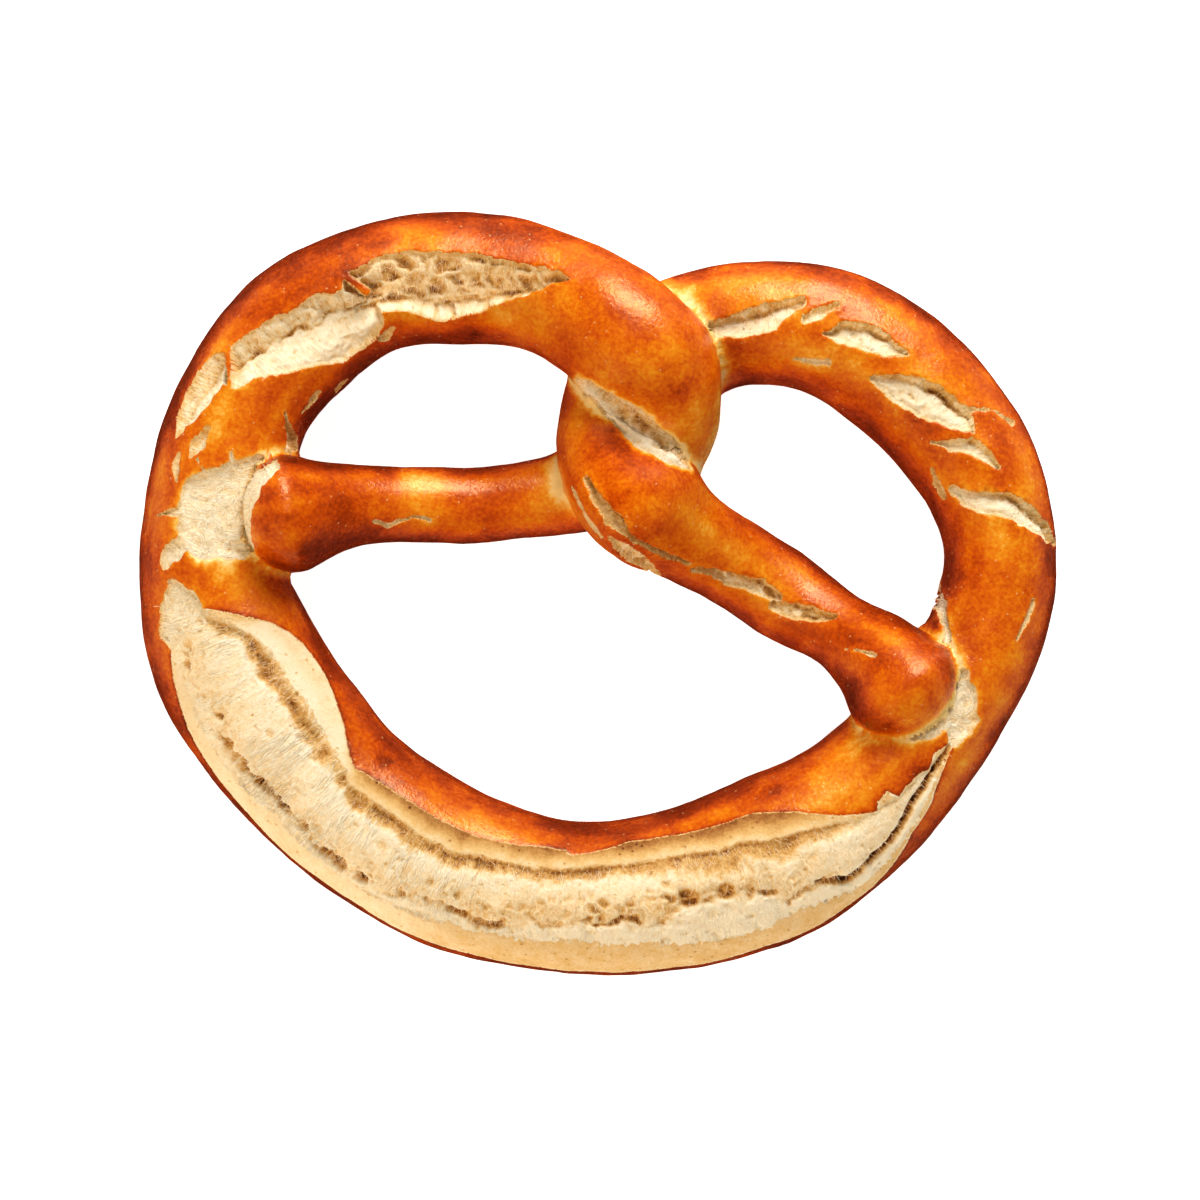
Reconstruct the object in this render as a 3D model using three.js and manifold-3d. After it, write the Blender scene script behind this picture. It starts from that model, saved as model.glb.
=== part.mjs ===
// A large baked soft pretzel. One rope of dough, thick in the belly and thin at both ends, is laid in a loop,
// crossed over itself twice and pressed down on the loop with its two knobs. It is a single solid.
// Millimetres, +Z up. The origin is the middle of the flat baked base, +X runs across the two upper loops and
// +Y points from the belly to the twist.
import * as THREE from "three";
import { mergeVertices } from "three/addons/utils/BufferGeometryUtils.js";
import Module from "manifold-3d";

// Driving dimensions.
const SIDES = 28; // facets round the rope
const TOP_FACET = 9.5; // degrees taken up by each facet of the upper half, which are the finer ones
const TOP_COLUMNS = 10; // facets on each side of the crown that are as fine as that
const LOOP_STEP = 2.5; // distance between the rings of facets along the loop
const ARM_STEP = 3.3; // and along the two arms
const BASE_FULLNESS = 0.8; // below 1, the lower half of the rope is squarer than an ellipse
const KNOB_LENGTH = 0.92; // how far a knob reaches past its last station, in half widths
const DOME_RINGS = 4; // rings that round off a knob
const CRUST = 1.1; // thickness of the crust, so the step down into a tear
const TEAR_SLOPE = 1.0; // width of that step, seen from above
const TEAR_HOLLOW = 3.2; // distance inside a tear's edge at which it reaches its full depth

// The rope from the left knob to the right one: x, y, half width, underside, crown. Where the dough lies on
// the tray its underside is below zero, by as much as it has sagged flat there.
const ROPE = [
  [-52.5, 0.5, 10.5, 8, 30.5], // left knob, pressed on the loop
  [-46, 3.5, 8, 4, 23],
  [-39, 6, 7, 0.5, 17],
  [-25, 9.5, 7, -1, 13], // left arm
  [-14.5, 13.5, 7, -1, 13],
  [-5.5, 18, 8, -1, 13.5], // passes under the right arm
  [3.5, 25, 9, 0, 17],
  [5, 33, 10, 4, 25.5],
  [0.5, 41, 11.5, 9.5, 31], // passes over the right arm
  [-9.5, 46.5, 11.5, 8, 30.5],
  [-23, 49.5, 11, 1, 24.5],
  [-37, 47.5, 12, -1.5, 22.5], // top of the left loop
  [-50, 42, 11.5, -1.5, 22.5],
  [-60.5, 31.5, 12.5, -1.5, 23],
  [-66.5, 18, 12, -1.5, 23.5],
  [-67.5, 4, 12.5, -1.5, 24],
  [-65.5, -11, 12.5, -1.5, 24.5], // under the left knob
  [-57.5, -25.5, 15, -1.5, 25.5],
  [-46, -36.5, 15, -1.5, 26.5],
  [-31, -46, 14.5, -1.5, 27],
  [-12, -52, 14.5, -1.5, 27], // belly
  [7, -52.5, 13.5, -1.5, 27],
  [25, -47.5, 14, -1.5, 27],
  [41.5, -37.5, 15, -1.5, 27],
  [53.5, -25.5, 13.5, -1.5, 26],
  [61.5, -12.5, 12, -1.5, 25],
  [67, 0, 10.5, -1.5, 23.5], // under the right knob
  [69.5, 13.5, 10.5, -1.5, 22],
  [68, 26.5, 10, -1.5, 21.5],
  [60, 39.5, 11, -1.5, 21.5],
  [45.5, 50, 12, -1.5, 21.5], // top of the right loop
  [29, 55.5, 11.5, -1.5, 21],
  [14, 53, 11, -1.5, 19.5],
  [3, 46, 11.5, -1, 17],
  [-3.5, 38, 9.5, -0.5, 16.5], // passes under the left arm
  [-4.5, 27, 8.5, 4, 23.5],
  [1.5, 19.5, 10, 9.5, 29], // passes over the left arm
  [8.5, 16.5, 10.5, 9.5, 28.5],
  [15.5, 14, 8.5, 5, 22.5],
  [25, 11.5, 8, 1, 16.5], // right arm
  [35.5, 8, 8, 0, 15.5],
  [44, 5.5, 7, 1, 19.5],
  [51.5, 2.5, 8.5, 4, 27],
  [56.5, -1, 10.5, 8, 31], // right knob, pressed on the loop
];
const LOOP = { from: 10, to: 32 }; // stations between which the rope is the loop, and not an arm

// The end of an arm inside the loop: how far its last ring and its tip lie past the last whole section, in
// stations, and the scale of that ring.
const TAIL = { ring: 0.25, tip: 0.4, scale: 0.7 };
const WELD = 1e-4; // points of the skin closer than this are one

// The long split along the belly: distance along the rope, then the angles from the crown, in degrees and
// outwards, of the crust's inner lip, the inner groove, the outer groove and the crust's outer lip.
const BELLY = [
  [200, 8, 14, 26, 36],
  [206, -35, -8, 30, 44],
  [214, -50, -20, 29, 58],
  [222, -56, -18, 34, 80],
  [240, -28, -14, 37, 90],
  [255, -31, -8, 40, 90],
  [266, -33, -9, 42, 90],
  [278, -40, -18, 29, 90],
  [297, -48, -25, 15, 90],
  [312, -43, -19, 10, 90],
  [322, -38, -13, 24, 90],
  [330, -25, -5, 40, 88],
  [337, -2, 5, 47, 82],
  [343, 10, 16, 42, 62],
  [357, 14, 18, 23, 30],
];
const BELLY_COLUMNS = [-4, -1, 4, 9]; // columns of facets, counted from the crown, that follow those angles
const STILL_COLUMNS = [-8, 11]; // the nearest columns on each side that keep their place
// Depth of the split's surface: place across the split, in the numbering of those columns, and depth.
const BELLY_SECTION = [
  [-4, 0], // inner lip
  [-3, 1.0], // smooth band of skin below the lip
  [-2, 1.3],
  [-1, 3.3], // inner groove
  [0, 1.2],
  [1, 0.6], // torn crumb, swollen between the grooves
  [2, 0.6],
  [3, 1.2],
  [4, 2.8], // outer groove
  [5, 1.2], // smooth band of skin
  [8, 1.0],
  [9, 0], // outer lip
];
const SPLIT_FADE = 6; // length over which the split deepens from each end
const SPLIT_START = 8; // length from its left end over which the columns close in on the lips and grooves
const SPLIT_END = 20; // and the length over which they let go of them at its right end, where it is a slit
const CRAG = 0.35; // height of the crags of the torn crumb
const CRAG_PITCH = 7; // distance between two crags, along the rope
const CRAG_LEAN = 11; // degrees round the rope over which the rows of crags shift by one radian
const CRAG_BREAK = { pace: 0.37, lean: 17 }; // the slower wave that breaks the rows up

// Smaller tears in the crust, seen from above: the stretch of rope that each is on, its depth, and the x, y
// and half width of points along it.
const TEARS = [
  {
    rope: [92, 146],
    depth: 3.2,
    line: [[-52, 41.5, 2.4], [-44, 44, 5.2], [-37, 45.5, 5.6], [-28, 48, 3.8], [-18, 51.4, 0.8]],
  },
  {
    rope: [120, 172],
    depth: 3,
    line: [[-50.4, 35.6, 4.1], [-54.5, 33, 5.9], [-62.5, 27.5, 4.9], [-68.5, 22.3, 3.4]],
  },
  {
    rope: [150, 190],
    depth: 1.8,
    line: [[-71.6, 22, 1.8], [-73, 17, 2.5], [-75.5, 9, 0.6]],
  },
  {
    rope: [165, 205],
    depth: 2.2,
    line: [[-58, 8, 1.2], [-63.5, 3, 3.8], [-65.8, -3, 6], [-63, -8, 2.4]],
  },
  {
    rope: [345, 385],
    depth: 2,
    line: [[60, 14, 0.8], [63, 7, 1], [66.5, -1, 3.4], [67.8, -7.5, 1.6]],
  },
  {
    rope: [430, 475],
    depth: 2.2,
    line: [[7.6, 49.2, 1], [14.6, 52.2, 2.4], [18.1, 54.7, 2.6], [22.8, 58.6, 0.7]],
  },
  {
    rope: [420, 450],
    depth: 2,
    line: [[28.2, 54.1, 0.8], [33, 55.2, 2.4], [38.7, 55, 1.9], [42.6, 54.6, 0.5]],
  },
  {
    rope: [395, 435],
    depth: 2.4,
    line: [[38.4, 48.8, 0.8], [45, 48, 3.1], [51, 46.8, 3], [57, 44.5, 0.6]],
  },
  {
    rope: [380, 412],
    depth: 2,
    line: [[56.4, 33.8, 0.8], [62.4, 33.1, 1.9], [68, 33.2, 2.3], [76, 29.5, 0.8]],
  },
  {
    rope: [505, 552],
    depth: 1.8,
    line: [[16.7, 8.7, 0.6], [24.2, 9.1, 1.5], [32, 7.6, 1.8], [39.2, 6.8, 1.3], [42.4, 7.3, 0.5]],
  },
];

const radians = THREE.MathUtils.degToRad;
const mix = THREE.MathUtils.lerp;
const ease = (x) => THREE.MathUtils.smoothstep(x, 0, 1);

const plan = new THREE.CatmullRomCurve3(ROPE.map(([x, y]) => new THREE.Vector3(x, y, 0)), false, "catmullrom");
const sizes = new THREE.CatmullRomCurve3(ROPE.map((s) => new THREE.Vector3(...s.slice(2))), false, "catmullrom");
const LAST = ROPE.length - 1;

// Distance along the rope at small steps of the station number, so that each can be found from the other.
const STEPS_PER_STATION = 20;
const travelled = [0];
for (let i = 1; i <= LAST * STEPS_PER_STATION; i++) {
  const here = plan.getPoint(i / (LAST * STEPS_PER_STATION));
  const before = plan.getPoint((i - 1) / (LAST * STEPS_PER_STATION));
  travelled.push(travelled[i - 1] + here.distanceTo(before));
}

function distanceAt(station) {
  const i = Math.min(Math.floor(station * STEPS_PER_STATION), travelled.length - 2);
  return mix(travelled[i], travelled[i + 1], station * STEPS_PER_STATION - i);
}

function stationAt(distance) {
  let i = travelled.findIndex((d) => d > distance) - 1;
  if (i < 0) i = travelled.length - 2;
  return (i + (distance - travelled[i]) / (travelled[i + 1] - travelled[i])) / STEPS_PER_STATION;
}

// The values beside x in a table whose first column rises, with straight lines between its rows.
function lookUp(table, x) {
  const next = table.findIndex((row) => row[0] > x);
  if (next === 0) return table[0].slice(1);
  if (next < 0) return table[table.length - 1].slice(1);
  const [a, b] = [table[next - 1], table[next]];
  const share = (x - a[0]) / (b[0] - a[0]);
  return a.slice(1).map((value, i) => mix(value, b[i + 1], share));
}

// How far this distance along the rope is from the nearer end of the belly split: negative outside it.
function intoSplit(distance) {
  return Math.min(distance - BELLY[0][0], BELLY[BELLY.length - 1][0] - distance);
}

function evenAngle(column) {
  const beyond = Math.abs(column) - TOP_COLUMNS;
  if (beyond <= 0) return column * TOP_FACET;
  const top = TOP_COLUMNS * TOP_FACET;
  return Math.sign(column) * (top + (beyond * (180 - top)) / (SIDES / 2 - TOP_COLUMNS));
}

// Pairs of a column and its angle, at this distance along the rope, for the columns that fix all the others.
function columnPlaces(distance) {
  const angles = lookUp(BELLY, distance);
  const places = BELLY_COLUMNS.map((column, i) => [column, angles[i]]);
  const still = STILL_COLUMNS.map((column) => [column, evenAngle(column)]);
  return [[-SIDES / 2, -180], still[0], ...places, still[1], [SIDES / 2, 180]];
}

// The angle of a column of facets from the crown, in degrees. In the belly the columns are drawn together or
// apart, so that one runs along each lip and groove of the split.
function columnAngle(column, distance) {
  const fromStart = (distance - BELLY[0][0]) / SPLIT_START;
  const fromEnd = (BELLY[BELLY.length - 1][0] - distance) / SPLIT_END;
  const share = ease(Math.min(fromStart, fromEnd));
  if (Math.abs(column) > TOP_COLUMNS) return evenAngle(column);
  return mix(evenAngle(column), lookUp(columnPlaces(distance), column)[0], share);
}

// Distance from (x, y) to a tear's line, less its half width there: negative inside the tear.
function outsideTear(line, x, y) {
  let nearest = Infinity;
  for (let i = 1; i < line.length; i++) {
    const [[ax, ay, aw], [bx, by, bw]] = [line[i - 1], line[i]];
    const length2 = (bx - ax) ** 2 + (by - ay) ** 2;
    const share = THREE.MathUtils.clamp(((x - ax) * (bx - ax) + (y - ay) * (by - ay)) / length2, 0, 1);
    const away = Math.hypot(x - mix(ax, bx, share), y - mix(ay, by, share)) - mix(aw, bw, share);
    nearest = Math.min(nearest, away);
  }
  return nearest;
}

// Crags of torn crumb: high and low patches that lean across the rope.
function crag(distance, angle) {
  const along = (distance * 2 * Math.PI) / CRAG_PITCH;
  const rows = Math.sin(along + angle / CRAG_LEAN);
  return CRAG * rows * Math.cos(CRAG_BREAK.pace * along - angle / CRAG_BREAK.lean);
}

// How far the surface lies below the whole crust, in the belly split and in the tears.
function relief(distance, angle, x, y) {
  let depth = 0;
  if (intoSplit(distance) > 0) {
    const places = columnPlaces(distance).map(([column, at]) => [at, column]);
    const across = lookUp(places, angle)[0];
    const section = lookUp([[-SIDES / 2, 0], ...BELLY_SECTION, [SIDES / 2, 0]], across)[0];
    const torn = ease(across - BELLY_COLUMNS[0] - 1) * ease(BELLY_COLUMNS[2] + 1 - across);
    depth = (section + torn * crag(distance, angle)) * ease(intoSplit(distance) / SPLIT_FADE);
  }
  if (Math.abs(angle) < 90) {
    for (const tear of TEARS) {
      if (distance < tear.rope[0] || distance > tear.rope[1]) continue;
      const inside = -outsideTear(tear.line, x, y);
      if (inside < -TEAR_SLOPE / 2) continue;
      const step = CRUST * ease(inside / TEAR_SLOPE + 0.5);
      const hollow = (tear.depth - CRUST + crag(distance, angle)) * ease(inside / TEAR_HOLLOW);
      depth = Math.max(depth, step + hollow);
    }
  }
  return depth;
}

// One point of the skin. A ring is a station of the rope, how far past it the ring lies, and its scale.
function skinPoint(ring, column) {
  const centre = plan.getPoint(ring.station / LAST);
  const along = plan.getTangent(ring.station / LAST);
  const { x: halfWidth, y: underside, z: crown } = sizes.getPoint(ring.station / LAST);
  const distance = distanceAt(ring.station);
  const degrees = columnAngle(column, distance);
  const angle = radians(degrees);
  const fullness = Math.cos(angle) < 0 ? BASE_FULLNESS : 1;
  const halfHeight = (crown - underside) / 2;
  let side = halfWidth * Math.sign(Math.sin(angle)) * Math.abs(Math.sin(angle)) ** fullness;
  let up = halfHeight * Math.sign(Math.cos(angle)) * Math.abs(Math.cos(angle)) ** fullness;
  const depth = relief(distance, degrees, centre.x + side * along.y, centre.y - side * along.x);
  const shrink = ring.scale * (1 - depth / Math.hypot(side, up));
  side *= shrink;
  up *= shrink;
  return new THREE.Vector3(
    centre.x + ring.past * along.x + side * along.y,
    centre.y + ring.past * along.y - side * along.x,
    Math.max(0, underside + halfHeight + up),
  );
}

// A closed length of rope. The grid of a sphere is drawn out along it, so that its poles are the two ends.
function ropeGeometry(rings) {
  const geometry = new THREE.SphereGeometry(1, SIDES, rings.length - 1);
  geometry.deleteAttribute("normal");
  geometry.deleteAttribute("uv");
  const position = geometry.getAttribute("position");
  for (let i = 0; i < position.count; i++) {
    const column = SIDES / 2 - ((i % (SIDES + 1)) % SIDES);
    const point = skinPoint(rings[Math.floor(i / (SIDES + 1))], column);
    position.setXYZ(i, point.x, point.y, point.z);
  }
  return mergeVertices(geometry, WELD);
}

function ringsBetween(fromStation, toStation, ringStep) {
  const [start, end] = [distanceAt(fromStation), distanceAt(toStation)];
  const count = Math.round((end - start) / ringStep);
  const rings = [];
  for (let i = 0; i <= count; i++) {
    const station = i === 0 ? fromStation : i === count ? toStation : stationAt(mix(start, end, i / count));
    rings.push({ station, past: 0, scale: 1 });
  }
  return rings;
}

// The rounded end of a knob, from the tip inwards. side is -1 at the rope's start and 1 at its end.
function domeRings(station, side) {
  const reach = KNOB_LENGTH * sizes.getPoint(station / LAST).x;
  const rings = [];
  for (let i = 0; i < DOME_RINGS; i++) {
    const turn = radians(90 * (1 - i / DOME_RINGS));
    rings.push({ station, past: side * reach * Math.sin(turn), scale: i === 0 ? 0 : Math.cos(turn) });
  }
  return rings;
}

// An arm ends in a short tail that is sunk in the loop, and the loop in a flat end that the tail fills.
function tailRings(station, step) {
  return [
    { station: station + TAIL.ring * step, past: 0, scale: TAIL.scale },
    { station: station + TAIL.tip * step, past: 0, scale: 0 },
  ];
}

function leftArm() {
  const tail = tailRings(LOOP.from, 1);
  return ropeGeometry([...domeRings(0, -1), ...ringsBetween(0, LOOP.from, ARM_STEP), ...tail]);
}

function loop() {
  const ends = [LOOP.from, LOOP.to].map((station) => ({ station, past: 0, scale: 0 }));
  return ropeGeometry([ends[0], ...ringsBetween(LOOP.from, LOOP.to, LOOP_STEP), ends[1]]);
}

function rightArm() {
  const tail = tailRings(LOOP.to, -1).reverse();
  return ropeGeometry([...tail, ...ringsBetween(LOOP.to, LAST, ARM_STEP), ...domeRings(LAST, 1).reverse()]);
}

const wasm = await Module();
wasm.setup();

function solidOf(geometry) {
  const vertProperties = geometry.getAttribute("position").array;
  const triVerts = new Uint32Array(geometry.index.array);
  return new wasm.Manifold(new wasm.Mesh({ numProp: 3, vertProperties, triVerts }));
}

// Where the arms close round each other they can seal off a pocket of air, which is filled.
function withoutPockets(solid) {
  const bodies = solid.decompose();
  return bodies.reduce((largest, body) => (body.volume() > largest.volume() ? body : largest));
}

function geometryOf(solid) {
  const { vertProperties, triVerts } = solid.getMesh();
  const geometry = new THREE.BufferGeometry();
  geometry.setAttribute("position", new THREE.BufferAttribute(vertProperties, 3));
  geometry.setIndex(new THREE.BufferAttribute(triVerts, 1));
  geometry.computeVertexNormals();
  return geometry;
}

const bakedCrust = new THREE.MeshStandardMaterial({ color: 0xc8701e, roughness: 0.38, metalness: 0 });

function pretzel() {
  const dough = [loop(), leftArm(), rightArm()].map(solidOf).reduce((a, b) => a.add(b));
  const mesh = new THREE.Mesh(geometryOf(withoutPockets(dough)), bakedCrust);
  mesh.name = "pretzel";
  return mesh;
}

const group = new THREE.Group();
group.add(pretzel());
export default group;
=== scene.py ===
import math

import bmesh
import bpy
import numpy as np
from mathutils import Matrix, Vector, noise


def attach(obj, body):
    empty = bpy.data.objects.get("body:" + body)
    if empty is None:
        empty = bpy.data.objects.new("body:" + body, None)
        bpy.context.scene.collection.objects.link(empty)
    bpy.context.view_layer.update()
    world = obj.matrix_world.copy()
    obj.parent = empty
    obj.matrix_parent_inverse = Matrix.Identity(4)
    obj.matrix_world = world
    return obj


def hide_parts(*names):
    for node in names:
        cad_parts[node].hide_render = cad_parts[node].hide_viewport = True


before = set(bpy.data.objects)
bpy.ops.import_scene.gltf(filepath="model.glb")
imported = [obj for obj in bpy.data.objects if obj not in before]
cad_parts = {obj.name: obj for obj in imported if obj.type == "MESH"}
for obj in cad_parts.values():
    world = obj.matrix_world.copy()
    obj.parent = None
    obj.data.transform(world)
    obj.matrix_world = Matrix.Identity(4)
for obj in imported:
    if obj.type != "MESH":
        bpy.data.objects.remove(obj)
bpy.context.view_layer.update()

# A large baked soft pretzel, twisted from one rope of dough. The lye crust has burst open along the belly
# and in smaller tears on the loops. Shapes are worked out in millimetres and put into the meshes in metres.
mm = 0.001


def tableAt(rows, column, at):
    # one column of a table against its first, at many places
    return np.interp(at, [row[0] for row in rows], [row[column] for row in rows])


def ease(x, start=0, over=1):
    # rises smoothly from 0 at the start to 1, or falls to 0 at the start where over is negative
    x = np.clip((x - start) / over, 0, 1)
    return x * x * (3 - 2 * x)


def noiseAt(points, grain, seed, octaves=1):
    # smooth noise, about -1 to 1, whose lumps are one grain apart; a grain may differ on each axis
    scaled = points / np.asarray(grain) + seed * 17.31
    if octaves == 1:
        return np.array([noise.noise(p) for p in scaled.tolist()])
    return np.array([noise.fractal(p, 0.9, 2.1, octaves) for p in scaled.tolist()])


def layered(points, layers):
    # noises added up; a layer is an amount, a grain, a seed and, for a rougher noise, its octaves
    return sum(amount * noiseAt(points, *kind) for amount, *kind in layers)


def patches(points, even, amount, grain, seed, low, high, octaves=1):
    # a noise round an even value, kept between two limits
    return np.clip(even + amount * noiseAt(points, grain, seed, octaves), low, high)


def toMesh(bm, name):
    mesh = bpy.data.meshes.new(name)
    bm.to_mesh(mesh)
    bm.free()
    return mesh


def addObject(name, data):
    made = bpy.data.objects.new(name, data)
    bpy.context.collection.objects.link(made)
    return made


def relax(bm, verts, times):
    for _ in range(times):
        bmesh.ops.smooth_vert(bm, verts=verts, factor=0.5, use_axis_x=True, use_axis_y=True, use_axis_z=True)


rope = {
    # x, y, half width, underside and crown of the rope at stations from the left knob to the right one
    "stations": [
        (-52.5, 0.5, 10.5, 8, 30.5), (-46, 3.5, 8, 4, 23), (-39, 6, 7, 0.5, 17), (-25, 9.5, 7, -1, 13),
        (-14.5, 13.5, 7, -1, 13), (-5.5, 18, 8, -1, 13.5), (3.5, 25, 9, 0, 17), (5, 33, 10, 4, 25.5),
        (0.5, 41, 11.5, 9.5, 31), (-9.5, 46.5, 11.5, 8, 30.5), (-23, 49.5, 11, 1, 24.5),
        (-37, 47.5, 12, -1.5, 22.5), (-50, 42, 11.5, -1.5, 22.5), (-60.5, 31.5, 12.5, -1.5, 23),
        (-66.5, 18, 12, -1.5, 23.5), (-67.5, 4, 12.5, -1.5, 24), (-65.5, -11, 12.5, -1.5, 24.5),
        (-57.5, -25.5, 15, -1.5, 25.5), (-46, -36.5, 15, -1.5, 26.5), (-31, -46, 14.5, -1.5, 27),
        (-12, -52, 14.5, -1.5, 27), (7, -52.5, 13.5, -1.5, 27), (25, -47.5, 14, -1.5, 27),
        (41.5, -37.5, 15, -1.5, 27), (53.5, -25.5, 13.5, -1.5, 26), (61.5, -12.5, 12, -1.5, 25),
        (67, 0, 10.5, -1.5, 23.5), (69.5, 13.5, 10.5, -1.5, 22), (68, 26.5, 10, -1.5, 21.5),
        (60, 39.5, 11, -1.5, 21.5), (45.5, 50, 12, -1.5, 21.5), (29, 55.5, 11.5, -1.5, 21),
        (14, 53, 11, -1.5, 19.5), (3, 46, 11.5, -1, 17), (-3.5, 38, 9.5, -0.5, 16.5),
        (-4.5, 27, 8.5, 4, 23.5), (1.5, 19.5, 10, 9.5, 29), (8.5, 16.5, 10.5, 9.5, 28.5),
        (15.5, 14, 8.5, 5, 22.5), (25, 11.5, 8, 1, 16.5), (35.5, 8, 8, 0, 15.5), (44, 5.5, 7, 1, 19.5),
        (51.5, 2.5, 8.5, 4, 27), (56.5, -1, 10.5, 8, 31),
    ],
    "baseFullness": 0.8,  # below 1, the lower half of the rope is squarer than an ellipse
    "knobLength": 0.92,  # how far a knob reaches past its last station, in half widths
    "knobRings": 10,
    "sides": 56,
    "ringStep": 1,
    "placeStep": 0.5, "placeReach": 1.5,  # spacing and reach of the places that points are matched to
    "sameStrand": 28,  # places nearer than this along the rope are on the same strand
    "voxel": 1.38,  # grid on which the crossings of the rope are fused
    "relax": 2,  # smoothing passes over the fused dough
    "lumps": [(0.35, 13, 14, 2), (0.06, 3, 15, 2)],  # of the crust: amount, grain, seed, octaves
    "shrink": 0.2,  # keeps the lumps inside the solid's box
}


def onSpline(points, at):
    # a uniform Catmull-Rom spline through the points, at station numbers that need not be whole
    padded = np.vstack([2 * points[0] - points[1], points, 2 * points[-1] - points[-2]])
    start = np.clip(at.astype(int), 0, len(points) - 2)
    w = (at - start)[:, None]
    a, b, c, d = (padded[start + step] for step in range(4))
    return b + 0.5 * w * (c - a + w * (2 * a - 5 * b + 4 * c - d + w * (3 * (b - c) + d - a)))


def sampleRope(step):
    # even samples along the rope: distance, middle line, direction and section
    stations = np.array(rope["stations"], float)
    fine = np.linspace(0, len(stations) - 1, 20 * (len(stations) - 1) + 1)
    walk = np.linalg.norm(np.diff(onSpline(stations, fine)[:, :2], axis=0), axis=1)
    travelled = np.concatenate([[0], np.cumsum(walk)])
    at = np.linspace(0, travelled[-1], int(travelled[-1] / step) + 1)
    values = onSpline(stations, np.interp(at, travelled, fine))
    along = np.gradient(values[:, :2], axis=0)
    along /= np.linalg.norm(along, axis=1)[:, None]
    return {
        "at": at, "plan": values[:, :2], "along": along, "halfWidth": values[:, 2],
        "halfHeight": (values[:, 4] - values[:, 3]) / 2, "middle": (values[:, 4] + values[:, 3]) / 2,
    }


def rollRope():
    # the rope as one closed tube: the grid of a sphere drawn out along it, with its poles at the two knobs
    line = sampleRope(rope["ringStep"])
    count, knobRings = len(line["at"]), rope["knobRings"]
    turn = np.radians(90 * (1 - np.arange(knobRings) / knobRings))
    reach = rope["knobLength"] * line["halfWidth"][[0, -1]]
    sample = np.concatenate([np.zeros(knobRings, int), np.arange(count), np.full(knobRings, count - 1)])
    past = np.concatenate([-reach[0] * np.sin(turn), np.zeros(count), reach[1] * np.sin(turn[::-1])])
    scale = np.concatenate([np.cos(turn), np.ones(count), np.cos(turn[::-1])])
    bm = bmesh.new()
    rings = len(sample) - 1
    bmesh.ops.create_uvsphere(bm, u_segments=rope["sides"], v_segments=rings, radius=1)
    for v in bm.verts:
        ring = round(math.atan2(math.hypot(v.co.x, v.co.y), v.co.z) / math.pi * rings)
        angle = -math.atan2(v.co.y, v.co.x)
        i = sample[ring]
        fullness = rope["baseFullness"] if math.cos(angle) < 0 else 1
        side = line["halfWidth"][i] * math.copysign(abs(math.sin(angle)) ** fullness, math.sin(angle))
        up = line["halfHeight"][i] * math.copysign(abs(math.cos(angle)) ** fullness, math.cos(angle))
        (x, y), (alongX, alongY) = line["plan"][i], line["along"][i]
        side, up = side * scale[ring], up * scale[ring]
        v.co.x = x + past[ring] * alongX + side * alongY
        v.co.y = y + past[ring] * alongY - side * alongX
        v.co.z = max(0, line["middle"][i] + up)
    return bm


def fuseDough(bm):
    # voxel remesh turns the overlapping strands into one skin, which is then relaxed and set down flat
    rolled = addObject("rolled", toMesh(bm, "rolled"))
    fuse = rolled.modifiers.new("fuse", "REMESH")
    fuse.mode = "VOXEL"
    fuse.voxel_size = rope["voxel"]
    fused = bpy.data.meshes.new_from_object(rolled.evaluated_get(bpy.context.evaluated_depsgraph_get()))
    bpy.data.objects.remove(rolled)
    bm = bmesh.new()
    bm.from_mesh(fused)
    relax(bm, bm.verts, rope["relax"])
    for v in bm.verts:
        v.co.z = max(0, v.co.z)
    print("dough fused:", len(bm.verts), "vertices")
    return bm


def ropePlaces(points):
    # for each point its distance along the rope, angle from the crown, radius, gap to the next strand, and
    # the rope's direction there
    line = sampleRope(rope["placeStep"])
    limit = np.full(len(line["at"]), rope["placeReach"])
    places = []
    for part in np.array_split(points.astype(np.float32), len(points) // 4000 + 1):
        offset = part[:, None, :2] - line["plan"][None]
        ahead = (offset * line["along"]).sum(2)
        side = offset[..., 0] * line["along"][:, 1] - offset[..., 1] * line["along"][:, 0]
        up = part[:, 2:] - line["middle"]
        allowed = np.broadcast_to(limit, ahead.shape).copy()
        for end, outward in ((0, -1), (-1, 1)):
            knob = rope["knobLength"] * line["halfWidth"][end]
            allowed[:, end] = np.where(ahead[:, end] * outward > 0, knob, allowed[:, end])
        size = (side / line["halfWidth"]) ** 2 + (up / line["halfHeight"]) ** 2 + (ahead / allowed) ** 2
        best = size.argmin(1)
        row = np.arange(len(part))
        nearest = np.sqrt(size[row, best])
        size[np.abs(line["at"][None] - line["at"][best][:, None]) < rope["sameStrand"]] = 1e9
        other = np.sqrt(size.min(1))
        width, height = line["halfWidth"][best], line["halfHeight"][best]
        angle = np.degrees(np.arctan2(side[row, best] / width, up[row, best] / height))
        radius = np.sqrt((width ** 2 + height ** 2) / 2)
        at = line["at"][best] + np.clip(ahead[row, best], -0.5, 0.5)
        alongX, alongY = line["along"][best].T
        places.append(np.stack([at, angle, radius, (other - nearest) * radius, alongX, alongY], 1))
    return dict(zip(("at", "angle", "radius", "gap", "alongX", "alongY"), np.vstack(places).T))


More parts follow.
